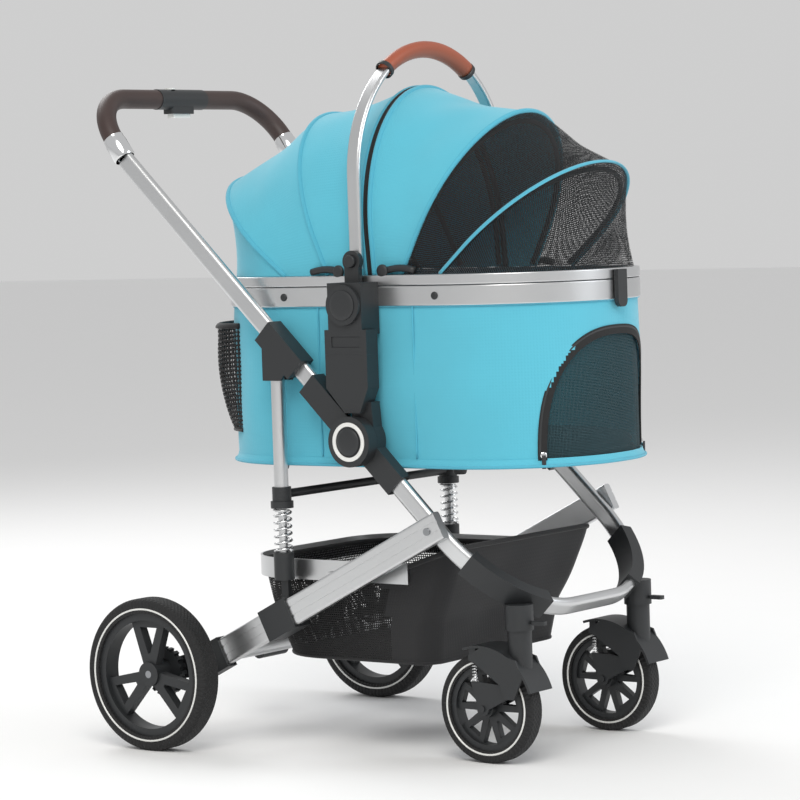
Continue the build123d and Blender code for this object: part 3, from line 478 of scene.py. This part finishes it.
def turned(name: str, profile: Sequence[tuple[float, float]], centre: Vector, axis: Vector,
           steps: int = 40) -> bpy.types.Object:
    """Makes a turned piece from radius and height pairs about an axis.

    Args:
        name: The piece's name.
        profile: Pairs of radius and height, in metres, from the first end to the last.
        centre: Where height zero is.
        axis: The axis's direction.
        steps: The number of sides.

    Returns:
        The new piece.
    """
    one = axis.orthogonal().normalized()
    two = axis.cross(one).normalized()
    rows = [[centre + axis * h + (one * math.cos(2 * math.pi * k / steps)
             + two * math.sin(2 * math.pi * k / steps)) * max(r, 1e-5) for k in range(steps)]
            for r, h in profile]
    piece = sheet_mesh(name, rows, loop=True)
    make_active(piece)
    bpy.ops.object.mode_set(mode="EDIT")
    bpy.ops.mesh.select_all(action="SELECT")
    bpy.ops.mesh.remove_doubles(threshold=5e-5)
    bpy.ops.mesh.normals_make_consistent(inside=False)
    bpy.ops.object.mode_set(mode="OBJECT")
    return piece


def wrinkled(points: Sequence[Sequence[Vector]], depth: float, away: Callable[[Vector], Vector],
             stretch: Point = (14.0, 14.0, 9.0), seed: float = 0.0) -> list[list[Vector]]:
    """Moves rows of points in and out by soft noise, least at the rows' edges.

    Args:
        points: The rows.
        depth: The largest move.
        away: Gives the outward direction at a point.
        stretch: The noise's frequency along each axis, per metre.
        seed: Shifts the noise.

    Returns:
        New rows.
    """
    rows, last = [], len(points) - 1
    for i, row in enumerate(points):
        calm = max(0.0, math.sin(math.pi * i / last)) ** 0.6 if last else 0.0
        rows.append([p + away(p) * depth * calm * noise.noise(
            Vector((p.x * stretch[0] + seed, p.y * stretch[1], p.z * stretch[2]))) for p in row])
    return rows


@dataclass(frozen=True)
class Bow:
    """One canopy bow: where its feet and its top are, and the body that carries it."""

    foot_x: float
    top: tuple[float, float]
    body: str
    foot_z: float = 0.7675
    half: float = 0.1875
    straight: float = 0.06
    lift: float = 0.0165

    def line(self, steps: int = 96, out: float = 0.0) -> list[Vector]:
        """Gives the arch that the cloth follows over this bow.

        Args:
            steps: The number of steps from one foot to the other.
            out: How far outside the cloth the line runs.

        Returns:
            Points from the right foot to the left one.
        """
        run, rise = self.top[0] - self.foot_x, self.top[1] - self.foot_z
        length = math.hypot(run, rise)
        lean = Vector((run / length, 0, rise / length))
        foot = Vector((self.foot_x, 0, self.foot_z))
        half, tall = self.half + out, length + self.lift - self.straight + out
        flat = [Vector((0, -half * math.cos(math.pi * k / 400), self.straight + tall * math.sin(math.pi * k / 400)))
                for k in range(401)]
        flat = [Vector((0, -half, self.straight * k / 40)) for k in range(40)] + flat
        flat += [Vector((0, half, self.straight * (1 - k / 40))) for k in range(1, 41)]
        reach = [0.0]
        for a, b in zip(flat, flat[1:]):
            reach.append(reach[-1] + (b - a).length)
        line, at = [], 0
        for k in range(steps + 1):
            want = reach[-1] * k / steps
            while at < len(flat) - 2 and reach[at + 1] < want:
                at += 1
            share = (want - reach[at]) / max(1e-9, reach[at + 1] - reach[at])
            p = flat[at].lerp(flat[at + 1], share)
            line.append(foot + Vector((0, p.y, 0)) + lean * p.z)
        return line


@dataclass(frozen=True)
class CarrierPlan:
    """The carrier's plan shape: a rounded rectangle that its rails and cloth follow."""

    middle: float = 0.0875
    half_length: float = 0.3593
    half_width: float = 0.205
    corner: float = 0.195

    def arc_x(self, way: int) -> float:
        """Where the front (1) or rear (-1) end's arcs are centred."""
        return self.middle + way * (self.half_length - self.corner)

    def loop(self, z: float, inset: float, step: float = 0.008) -> list[Vector]:
        """Gives the closed plan line at a height, drawn in from the rails' outer face."""
        turn, radius = 24, self.corner - inset
        line = []
        for way, start in (((1, -1), -90), ((1, 1), 0), ((-1, 1), 90), ((-1, -1), 180)):
            centre = Vector((self.arc_x(way[0]), way[1] * (self.half_width - self.corner), z))
            for k in range(turn + 1):
                angle = math.radians(start + 90 * k / turn)
                line.append(centre + Vector((math.cos(angle), math.sin(angle), 0)) * radius)
        full = []
        for a, b in zip(line, line[1:] + line[:1]):
            parts = max(1, round((b - a).length / step))
            full += [a.lerp(b, k / parts) for k in range(parts)]
        return full

    def end(self, way: int, along: float, z: float, inset: float) -> Vector:
        """Gives a point on an end wall at a distance along the wall from its middle."""
        half = self.half_width - self.corner
        sign = 1 if along > 0 else -1
        angle = max(0.0, abs(along) - half) / self.corner
        radius = self.corner - inset
        return Vector((self.arc_x(way) + way * math.cos(angle) * radius,
                       sign * (min(abs(along), half) + math.sin(angle) * radius), z))

    def outward(self, p: Vector) -> Vector:
        """The plan direction that points out of the carrier."""
        x = min(max(p.x, self.arc_x(-1)), self.arc_x(1))
        y = min(max(p.y, self.corner - self.half_width), self.half_width - self.corner)
        return Vector((p.x - x, p.y - y, 0)).normalized()


PLAN = CarrierPlan()


@dataclass
class Canopy:
    """The folding canopy: cloth and net bays between the bows, piped along each bow."""

    front: tuple[Bow, ...] = (
        Bow(0.112, (0.092, 1.050), "front_zip_bow"), Bow(0.165, (0.281, 1.004), "front_mid_bow"),
        Bow(0.238, (0.414, 0.923), "front_low_bow"),
        Bow(0.2518, (0.4378, 0.7675), "carrier", straight=0.002, lift=0.004, half=0.1905))
    rear: tuple[Bow, ...] = (
        Bow(0.098, (0.078, 1.050), "rear_zip_bow"), Bow(0.019, (-0.090, 1.017), "rear_mid_bow"),
        Bow(-0.068, (-0.260, 0.923), "rear_low_bow"),
        Bow(-0.0768, (-0.2628, 0.7675), "carrier", straight=0.002, lift=0.004, half=0.1905))
    sag: float = 0.007

    def bay(self, name: str, a: Bow, b: Bow, look: Look, seed: float) -> bpy.types.Object:
        """Makes one bay between two bows.

        Args:
            name: The piece's name.
            a: The bow nearer the zip.
            b: The next bow down.
            look: Its cloth.
            seed: Shifts its wrinkles.

        Returns:
            The bay.
        """
        one, two, steps = a.line(), b.line(), 26
        rows = []
        for i in range(steps + 1):
            share = i / steps
            row = []
            for k, (p, q) in enumerate(zip(one, two)):
                arch = math.sin(math.pi * k / (len(one) - 1))
                point = p.lerp(q, share)
                inward = (Vector((0.09, 0, 0.80)) - point).normalized()
                row.append(point + inward * self.sag * arch * math.sin(math.pi * share))
            rows.append(row)
        middle = Vector((0.09, 0, 0.80))
        rows = wrinkled(rows, 0.004, lambda p: (p - middle).normalized(), seed=seed)
        piece = sheet_mesh(name, rows, thickness=0.0012)
        PALETTE.dress(piece, look.value)
        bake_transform(piece)
        width = sum((q - p).length for p, q in zip(one, one[1:]))
        width = (width + sum((q - p).length for p, q in zip(two, two[1:]))) / 2
        return piece

    def build(self) -> None:
        """Makes every bay, its piping and the zip over the top."""
        plan = (("front", self.front, (Look.CLOTH, Look.NET, Look.NET)),
                ("rear", self.rear, (Look.CLOTH, Look.CLOTH, Look.CLOTH)))
        for end, bows, looks in plan:
            for i, (a, b, look) in enumerate(zip(bows, bows[1:], looks)):
                bay = self.bay(f"{end}_canopy_bay_{i + 1}", a, b, look, 3.0 * i + (7 if end == "rear" else 0))
                if i == 0:
                    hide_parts(f"{end}_canopy")
            for bow in bows[:-1]:
                tape = tube_along(f"{bow.body}_piping", bow.line(out=0.0012), 0.0042, 8, 0.55)
                finish_piece(tape, Look.PIPING, bow.body)
            zip_bow = bows[0]
            away = -1 if end == "front" else 1
            beside = [p + Vector((away * 0.0042, 0, 0)) for p in zip_bow.line(out=0.0006)]
            tape = tube_along(f"{end}_zip_tape", beside, 0.0036, 8, 0.45)
            finish_piece(tape, Look.ZIP, zip_bow.body)


@dataclass
class CarrierCloth:
    """The carrier's cloth: wall, hem, net door with its zip, rear pocket and floor pad."""

    hem_z: float = 0.464
    top_z: float = 0.7195
    door_half: float = 0.160
    door_low: float = 0.474
    door_high: float = 0.672
    side_power: float = 0.78
    top_power: float = 0.8

    def door_edge(self, shrink: float = 0.0, steps: int = 72) -> list[tuple[float, float]]:
        """Gives the door's arch as distances along the end wall and heights."""
        half, tall = self.door_half - shrink, self.door_high - self.door_low - shrink
        line = []
        for k in range(steps + 1):
            angle = math.pi * k / steps
            c, s = math.cos(angle), math.sin(angle)
            line.append((-half * math.copysign(abs(c) ** self.side_power, c),
                         self.door_low + tall * max(0.0, s) ** self.top_power))
        return line

    def in_door(self, p: Vector) -> bool:
        """Says if a point of the wall is inside the door's arch."""
        if p.x < PLAN.arc_x(1):
            return False
        half = PLAN.half_width - PLAN.corner
        angle = math.atan2(max(0.0, abs(p.y) - half), p.x - PLAN.arc_x(1))
        along = min(abs(p.y), half) + angle * PLAN.corner
        a = min(1.0, along / self.door_half) ** (1 / self.side_power)
        b = max(0.0, (p.z - self.door_low) / (self.door_high - self.door_low)) ** (1 / self.top_power)
        return a * a + b * b < 1

    def build(self) -> None:
        """Makes the carrier's soft pieces."""
        heights = [self.hem_z + 0.006 + (self.top_z - self.hem_z - 0.006) * k / 62 for k in range(63)]
        rows = []
        for z in heights:
            share = (z - heights[0]) / (heights[-1] - heights[0])
            rows.append(PLAN.loop(z, 0.0055 - 0.0022 * math.sin(math.pi * share), 0.0045))
        rows = wrinkled(rows, 0.0035, PLAN.outward, (9.0, 9.0, 11.0), 4.0)
        wall = sheet_mesh("carrier_wall", rows, keep=lambda p: not self.in_door(p), thickness=0.0016, loop=True)
        finish_piece(wall, Look.CLOTH, "carrier")
        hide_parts("carrier_body")
        net_rows = [[PLAN.end(1, -0.168 + 0.336 * k / 72, self.hem_z + 0.006 + 0.206 * i / 40, 0.0085)
                     for k in range(73)] for i in range(41)]
        door = sheet_mesh("door_net", net_rows, keep=self.in_door, thickness=0.0008)
        finish_piece(door, Look.DOOR_NET, "carrier")
        for name, shrink, size, look, flat in (("door_zip_tape", -0.0065, 0.0075, Look.ZIP, 0.22),
                                               ("door_zip_teeth", -0.003, 0.0022, Look.NYLON, 0.8)):
            edge = [PLAN.end(1, s, z, 0.0035) for s, z in self.door_edge(shrink)]
            base = [PLAN.end(1, s, z, 0.0035) for s, z in self.door_edge(shrink + 0.015)]
            rim = ribbon(name, edge, base if size > 0.005 else None, size, flat)
            finish_piece(rim, look, "carrier")
        hem = sheet_mesh("hem_flare", [PLAN.loop(self.hem_z + 0.0125 * (1 - k / 6), 0.0045 - 0.0055 * (k / 6) ** 1.6,
                                                 0.008) for k in range(7)], thickness=0.0016, loop=True)
        finish_piece(hem, Look.CLOTH, "carrier")
        for name, z, inset, size in (("hem_piping", self.hem_z + 0.001, -0.0008, 0.0026),
                                     ("wall_top_piping", self.top_z - 0.001, 0.0035, 0.0024)):
            cord = tube_along(name, PLAN.loop(z, inset, 0.01), size, 8, closed=True)
            finish_piece(cord, Look.PIPING, "carrier")
        self.pocket()
        self.pad()
        self.seams()

    def seams(self) -> None:
        """Makes the wall's two upright side seams each side, of stitched-over piping."""
        for side, sign in SIDES.items():
            for x in (0.006, 0.193):
                line = [Vector((x, sign * (0.205 - 0.0028), 0.478 + (self.top_z - 0.480) * k / 20))
                        for k in range(21)]
                finish_piece(tube_along(f"wall_seam_{side}_{round(x * 1000)}", line, 0.0016, 6, 0.6), Look.PIPING,
                             "carrier")

    def pocket(self) -> None:
        """Makes the coarse net pocket round the carrier's rear end."""
        span, rows = 0.205, []
        for i in range(25):
            share = i / 24
            belly = 0.004 + 0.024 * max(0.0, math.sin(math.pi * min(1, share * 1.15) * 0.62)) ** 0.8
            row = []
            for k in range(81):
                along = -span + 2 * span * k / 80
                edge = min(1.0, (span - abs(along)) / 0.06)
                row.append(PLAN.end(-1, along, 0.515 + 0.172 * share, 0.003 - belly * math.sin(edge * math.pi / 2)))
            rows.append(row)
        net = sheet_mesh("rear_pocket_net", rows, thickness=0.0012)
        finish_piece(net, Look.COARSE_NET, "carrier")
        for name, row, radius, sides, flat in (("rear_pocket_hem", rows[-1], 0.0058, 10, 0.5),
                                               ("rear_pocket_binding", rows[0], 0.0035, 8, 0.6)):
            finish_piece(tube_along(name, row, radius, sides, flat), Look.BLACK_CLOTH, "carrier")

    def pad(self) -> None:
        """Makes the floor pad that the pet lies on: a filled mat with a stitched edge."""
        low, rows = 0.4822, []
        for inset, rise in ((0.030, 0.0), (0.022, 0.004), (0.020, 0.010), (0.024, 0.016), (0.034, 0.020),
                            (0.060, 0.0235), (0.100, 0.025), (0.150, 0.0255)):
            rows.append(PLAN.loop(low + rise, inset, 0.012))
        pad = sheet_mesh("floor_pad", rows, loop=True)
        close_ends(pad)
        finish_piece(pad, Look.BLACK_CLOTH, "carrier")


def ribbon(name: str, edge: Sequence[Vector], base: Sequence[Vector] | None, size: float,
           flat: float) -> bpy.types.Object:
    """Makes a flat band between two lines, or a thin tube along one.

    Args:
        name: The piece's name.
        edge: The outer line.
        base: The inner line, or None for a tube.
        size: The tube's radius.
        flat: The tube's second cross direction's share of the radius.

    Returns:
        The new piece.
    """
    if base is None:
        return tube_along(name, edge, size, 8, flat)
    return sheet_mesh(name, [list(base), [a.lerp(b, 0.5) for a, b in zip(base, edge)], list(edge)], thickness=0.0022)


@dataclass
class StorageBasket:
    """The basket under the carrier: net sides and rear, cloth front and floor, bound round its mouth."""

    half: float = 0.2022
    floor_z: float = 0.1495

    def top_z(self, x: float) -> float:
        """The mouth's height at this place along the basket."""
        return 0.2995 + 0.0385 * min(1.0, max(0.0, (x - 0.150) / 0.112))

    def ring(self, share: float) -> list[Vector]:
        """Gives the bag's closed plan line at a share of its height."""
        rear = -0.138 - 0.0405 * share
        front = 0.193 + (0.012 * share / 0.4 if share < 0.4 else 0.012 + 0.055 * (share - 0.4) / 0.6)
        half = self.half - 0.020 * (1 - share) ** 1.5
        line = []
        for way, sign, start, radius in ((1, -1, -90, 0.035), (1, 1, 0, 0.035), (-1, 1, 90, 0.106),
                                         (-1, -1, 180, 0.106)):
            centre = Vector(((front - radius) if way > 0 else (rear + radius), sign * (half - radius), 0))
            for k in range(13):
                angle = math.radians(start + 90 * k / 12)
                line.append(centre + Vector((math.cos(angle), math.sin(angle), 0)) * radius)
        full = []
        for a, b, parts in zip(line, line[1:] + line[:1], ([1] * 12 + [14]) * 4):
            full += [a.lerp(b, k / parts) for k in range(parts)]
        return [Vector((p.x, p.y, self.floor_z + (self.top_z(p.x) - self.floor_z) * share)) for p in full]

    def build(self) -> None:
        """Makes the basket's panels and its binding."""
        rows = [self.ring(i / 20) for i in range(21)]
        middle = Vector((0.02, 0, 0.22))
        rows = wrinkled(rows, 0.006, lambda p: Vector((p.x - middle.x, p.y, 0)).normalized(), (11, 11, 14), 9.0)
        parts = (("basket_net", lambda p: p.x < 0.12, Look.BASKET_NET, 0.0012),
                 ("basket_front", lambda p: p.x >= 0.12, Look.BLACK_CLOTH, 0.0016))
        made = [finish_piece(sheet_mesh(name, rows, keep=keep, thickness=thick, loop=True), look, "lower_frame") for name, keep, look, thick in parts]
        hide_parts("storage_basket")
        base = [[Vector((0.02 + (p.x - 0.02) * k / 8, p.y * k / 8, self.floor_z + 0.001)) for p in rows[0]]
                for k in range(1, 9)]
        floor = sheet_mesh("basket_floor", base, thickness=0.002, loop=True)
        finish_piece(floor, Look.BLACK_CLOTH, "lower_frame")
        for name, share, size in (("basket_binding", 20, 0.0042), ("basket_floor_seam", 0, 0.0030)):
            cord = tube_along(name, rows[share], size, 8, closed=True)
            finish_piece(cord, Look.BLACK_CLOTH, "lower_frame")


@dataclass
class Springs:
    """The open coils on the struts and the front arms."""

    strut: Point = (-0.0575, 0.2315, 0.3246)
    front: Point = (0.2857, 0.1731, 0.1302)
    front_gap: float = 0.0215

    def coil(self, name: str, low: Vector, tall: float, radius: float, wire: float,
             turns: float) -> bpy.types.Object:
        """Makes one coil with closed ends, standing on low.

        Args:
            name: The piece's name.
            low: The coil's lowest middle point.
            tall: Its free height at rest.
            radius: The wire's middle line radius.
            wire: The wire's radius.
            turns: The number of turns.

        Returns:
            The coil.
        """
        steps = int(turns * 22)
        path = []
        for k in range(steps + 1):
            share = k / steps
            rise = wire + (tall - 2 * wire) * min(1.0, max(0.0, (share - 0.08) / 0.84))
            angle = 2 * math.pi * turns * share
            path.append(low + Vector((math.cos(angle) * radius, math.sin(angle) * radius, rise)))
        return tube_along(name, path, wire, 8)

    def build(self) -> None:
        """Makes both strut coils and the two coils of each front wheel."""
        for side, sign in SIDES.items():
            x, y, z = self.strut
            coil = self.coil(f"strut_coil_{side}", Vector((x, sign * y, z)), 0.0697, 0.0139, 0.0019, 7)
            finish_piece(coil, Look.CHROME, "struts")
            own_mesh(coil)
            if sign < 0:
                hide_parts("strut_springs")
            for k, gap in enumerate((-self.front_gap, self.front_gap)):
                x, y, z = self.front
                place = Vector((x, sign * y + gap, z))
                small = self.coil(f"front_coil_{side}_{k + 1}", place, 0.0325, 0.0041, 0.0009, 8)
                finish_piece(small, Look.CHROME, f"caster_{side}")
                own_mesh(small)
                if k == 0:
                    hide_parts(f"front_spring_{side}")


@dataclass
class Trim:
    """Small pieces: rings, caps, collars, the leather grip, hinge arms, feet, rivets and zip sliders."""

    hub: tuple[float, float] = (0.104, 0.507)

    def cap(self, name: str, x: float, y: float, z: float, radius: float, tall: float, body: str) -> None:
        """Makes a low domed black cap on a face that looks out sideways.

        Args:
            name: The piece's name.
            x: Its middle along X.
            y: The face's place, signed.
            z: Its height.
            radius: Its radius.
            tall: How far it stands out.
            body: The body that carries it.
        """
        out = 1 if y > 0 else -1
        profile = [(0, -0.001), (radius, -0.001), (radius, tall * 0.35), (radius * 0.92, tall * 0.62),
                   (radius * 0.72, tall * 0.85), (radius * 0.4, tall * 0.97), (0, tall)]
        piece = turned(name, profile, Vector((x, y, z)), Vector((0, out, 0)))
        finish_piece(piece, Look.NYLON, body)

    def ring(self, name: str, centre: Vector, outer: float, inner: float, tall: float, look: Look, body: str,
             slot: str) -> None:
        """Makes a flat bevelled ring whose axis runs along Y."""
        out = 1 if centre.y > 0 else -1
        bevel = min(0.0008, tall / 3)
        profile = [(inner, -0.0008), (outer, -0.0008), (outer, tall - bevel), (outer - bevel, tall),
                   (inner + bevel, tall), (inner, tall - bevel), (inner, -0.0008)]
        finish_piece(turned(name, profile, centre, Vector((0, out, 0)), 72), look, body)

    def wheels(self) -> None:
        """Makes the silver line round each tyre's outer and inner face."""
        for side, sign in SIDES.items():
            for end, x, z, mid, half, radius in (("rear", -0.277, 0.125, 0.3097, 0.0207, 0.1080),
                                                 ("front", 0.2997, 0.0875, 0.1731, 0.0160, 0.0735)):
                for face in (-1, 1):
                    y = sign * mid + face * half
                    line = [Vector((x + radius * math.cos(a), y - face * 0.0003, z + radius * math.sin(a)))
                            for a in (2 * math.pi * k / 96 for k in range(96))]
                    name = f"{end}_tyre_line_{side}_{'out' if face == sign else 'in'}"
                    body = f"{end}_wheel_{side}"
                    finish_piece(tube_along(name, line, 0.0017, 8, 1.0, closed=True), Look.SILVER, body)

    def hub_trim(self) -> None:
        """Makes the ring and domed cap on each folding hub, and the cap on each tower."""
        x, z = self.hub
        for side, sign in SIDES.items():
            y = sign * 0.262
            self.ring(f"hub_ring_{side}", Vector((x, y, z)), 0.031, 0.0245, 0.0016, Look.SILVER, "upper_frame",
                      "silver_paint")
            self.cap(f"hub_cap_{side}", x, y, z, 0.0215, 0.005, "upper_frame")
            self.cap(f"tower_cap_{side}", 0.097, sign * 0.258, 0.722, 0.0235, 0.004, "lower_frame")

    def leather(self) -> None:
        """Makes the handlebar's chrome collars and the carry handle's tan grip with its stitches."""
        for side, sign in SIDES.items():
            top = Vector((-0.3654, sign * 0.228, 0.9667))
            way = Vector((-math.cos(math.radians(55)), 0, math.sin(math.radians(55))))
            profile = [(0.0169, -0.002), (0.0186, 0.001), (0.0186, 0.030), (0.0176, 0.034), (0.0176, 0.040),
                       (0.0168, 0.0405), (0.0160, 0.0405)]
            piece = turned(f"handlebar_collar_{side}", profile, top + way * 0.004, way)
            finish_piece(piece, Look.CHROME, "upper_frame")
        line = []
        for k in range(65):
            angle = math.pi * k / 64
            line.append(Vector((0.090, math.cos(angle) * 0.206, 0.922 + math.sin(angle) * 0.206)))
        grip = [p for p in line if abs(p.y) <= 0.118]
        tube = tube_along("carry_grip", grip, 0.0145, 20, 0.82)
        finish_piece(tube, Look.TAN_LEATHER, "carry_handle")
        for name, p, q in (("right", grip[-1], grip[-2]), ("left", grip[0], grip[1])):
            way = (q - p).normalized()
            rim = turned(f"carry_grip_end_{name}", [(0.013, -0.003), (0.0152, -0.002), (0.0152, 0.004),
                                                    (0.0135, 0.005)], p, way)
            finish_piece(rim, Look.NYLON, "carry_handle")
        stitches = 30
        for k in range(stitches):
            share = (k + 0.5) / stitches
            index = share * (len(grip) - 1)
            p = grip[int(index)].lerp(grip[min(len(grip) - 1, int(index) + 1)], index % 1)
            q = (p - Vector((0.09, 0, 0.922))).normalized()
            low = p - q * 0.0119 + Vector((-0.0022, 0, 0))
            stitch = tube_along(f"carry_stitch_{k + 1}", [low, low + Vector((0.0022, 0, 0)) - q * 0.0012,
                                low + Vector((0.0044, 0, 0))], 0.0006, 6)
            finish_piece(stitch, Look.THREAD, "carry_handle")

    def rail_parts(self) -> None:
        """Makes the canopy's hinge arms, the rail's rivets, the carrier's feet and the door's zip sliders."""
        for side, sign in SIDES.items():
            for end, x, way, reach in (("front", 0.137, 1, 0.059), ("rear", 0.050, -1, 0.058)):
                path = [Vector((x + way * reach * k / 8, sign * 0.1960, 0.7735 + 0.004 * math.sin(math.pi * k / 8)))
                        for k in range(9)]
                piece = tube_along(f"{end}_hinge_arm_{side}", path, 0.0060, 12, 0.9)
                finish_piece(piece, Look.NYLON, "carrier")
                self.cap(f"{end}_hinge_cap_{side}", x, sign * 0.2020, 0.7735, 0.0105, 0.004, "carrier")
            for x in (-0.060, 0.2385):
                self.cap(f"rail_rivet_{side}_{'front' if x > 0 else 'rear'}", x, sign * 0.205, 0.7338,
                         0.0062, 0.0028, "carrier")
            for x in (-0.118, 0.238):
                foot = turned(f"carrier_foot_{side}_{'front' if x > 0 else 'rear'}",
                              [(0, -0.014), (0.008, -0.014), (0.010, -0.012), (0.0125, -0.002), (0.0125, 0.001),
                               (0, 0.001)], Vector((x, sign * 0.150, 0.464)), Vector((0, 0, 1)), 28)
                finish_piece(foot, Look.NYLON, "carrier")
        for k, (along, z) in enumerate(((-0.158, 0.482), (0.158, 0.482))):
            p = PLAN.end(1, along, z, 0.0035)
            out = PLAN.outward(p)
            body = turned(f"door_zip_slider_{k + 1}", [(0, 0), (0.0052, 0), (0.0052, 0.003), (0.003, 0.0042),
                                                       (0, 0.0042)], p, out, 12)
            finish_piece(body, Look.CHROME, "carrier")
            tab = tube_along(f"door_zip_puller_{k + 1}", [p + out * 0.0045 + Vector((0, 0, -0.003 * j))
                                                         for j in range(8)], 0.0034, 8, 0.4)
            finish_piece(tab, Look.NYLON, "carrier")

    def build(self) -> None:
        """Makes all the trim."""
        self.wheels()
        self.hub_trim()
        self.leather()
        self.rail_parts()


@dataclass
class Frame:
    """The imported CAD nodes: which finish each one has."""

    nodes: dict[str, bpy.types.Object]

    def plan(self) -> dict[str, Look]:
        """Maps every CAD node's name to its finish."""
        metal = ("lower_tube", "upper_tubes", "rear_legs", "rear_cross_tube", "basket_rim", "carrier_lower_rail",
                 "carrier_upper_rail", "carry_handle", "strut_tubes")
        steel = ("rear_axle", "leg_pins", "handlebar_tube")
        silver = ("handlebar_button", "handlebar_trigger")
        looks = {name: Look.NYLON for name in self.nodes}
        looks.update({name: Look.ANODISED for name in metal})
        looks.update({name: Look.STEEL for name in steel})
        looks.update({name: Look.SILVER for name in silver})
        looks.update({"handlebar_grip": Look.DARK_LEATHER, "carrier_floor": Look.BLACK_CLOTH})
        return looks

    def tread(self, name: str) -> Tread:
        """Gives a tyre's knurled rubber, centred on its own axle."""
        low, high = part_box(name)
        centre = (low + high) / 2
        return Tread(f"knurled_foam_rubber_{name}", "1D1D1E", 0.78, 0.0, 1.0, 1.1, 0.1, centre=tuple(centre),
                     radius=(high.z - low.z) / 2, pitch_mm=8.0)

    def build(self) -> None:
        """Dresses every CAD node."""
        looks = self.plan()
        for name, node in self.nodes.items():
            look = self.tread(name) if "tyre" in name else looks[name].value
            PALETTE.dress(node, look)


@dataclass
class Studio:
    """The floor, the lights and the camera."""

    target: Point = (0.0148, 0.0, 0.5551)
    back: Point = (0.5909, -0.8045, 0.0593)
    distance: float = 5.3436
    roll: float = 1.9

    def light(self, name: str, place: Point, size: float, power: float, colour: str) -> None:
        """Adds one area light that faces the object."""
        bpy.ops.object.light_add(type="AREA", location=place)
        lamp = bpy.context.object
        lamp.name = name
        lamp.data.shape, lamp.data.size, lamp.data.energy = "DISK", size, power
        lamp.data.color = linear(colour)[:3]
        lamp.rotation_euler = (Vector(self.target) - Vector(place)).to_track_quat("-Z", "Y").to_euler()

    def build(self) -> None:
        """Adds the floor, three lights and the camera."""
        rows = [[Vector((30.0 * x, 30.0 * y, 0)) for x in (-1, 0, 1)] for y in (-1, 0, 1)]
        floor = sheet_mesh("studio_floor", rows)
        PALETTE.dress(floor, Finish("painted_backdrop", "F4F4F4", 0.9, 0.0, 6.0, 0.01, 0.005))
        floor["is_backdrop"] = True
        self.light("key_light", (2.2, -3.4, 4.2), 3.2, 150, "FFFDF8")
        self.light("fill_light", (4.2, 1.6, 2.4), 3.0, 55, "F6FAFF")
        self.light("back_light", (-3.2, 1.4, 3.4), 2.4, 70, "FFFFFF")
        world = bpy.data.worlds.new("studio")
        bpy.context.scene.world = world
        world.use_nodes = True
        world.node_tree.nodes["Background"].inputs["Color"].default_value = linear("FFFFFF")
        world.node_tree.nodes["Background"].inputs["Strength"].default_value = 0.62
        back = Vector(self.back).normalized()
        right = Vector((0, 0, 1)).cross(back).normalized()
        up = back.cross(right)
        c, s = math.cos(math.radians(self.roll)), math.sin(math.radians(self.roll))
        x, y = right * c - up * s, right * s + up * c
        place = Vector(self.target) + back * self.distance
        bpy.ops.object.camera_add(location=place)
        camera = bpy.context.object
        camera.name = "studio_camera"
        camera.data.sensor_width, camera.data.lens = 36.0, 145.5
        camera.matrix_world = Matrix(((x.x, y.x, back.x, place.x), (x.y, y.y, back.y, place.y),
                                      (x.z, y.z, back.z, place.z), (0, 0, 0, 1)))
        bpy.context.scene.camera = camera
        bpy.context.scene.view_settings.view_transform = "Standard"


def write_bounds(record: dict[str, list[list[float]]], key: str) -> None:
    record[key] = [[float(v) for v in corner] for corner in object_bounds()]


def main() -> None:
    """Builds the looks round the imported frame."""
    logging.basicConfig(level=logging.INFO, format="%(name)s: %(message)s")
    for piece in list(bpy.data.objects):
        bpy.data.objects.remove(piece)
    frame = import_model()
    sizes: dict[str, list[list[float]]] = {}
    write_bounds(sizes, "cad")
    Frame(frame["nodes"]).build()
    Canopy().build()
    CarrierCloth().build()
    StorageBasket().build()
    Springs().build()
    Trim().build()
    Studio().build()
    write_bounds(sizes, "visual")
    LOG.info("box of the solids %s", sizes["cad"])
    LOG.info("box of the looks %s", sizes["visual"])


if __name__ == "__main__":
    main()
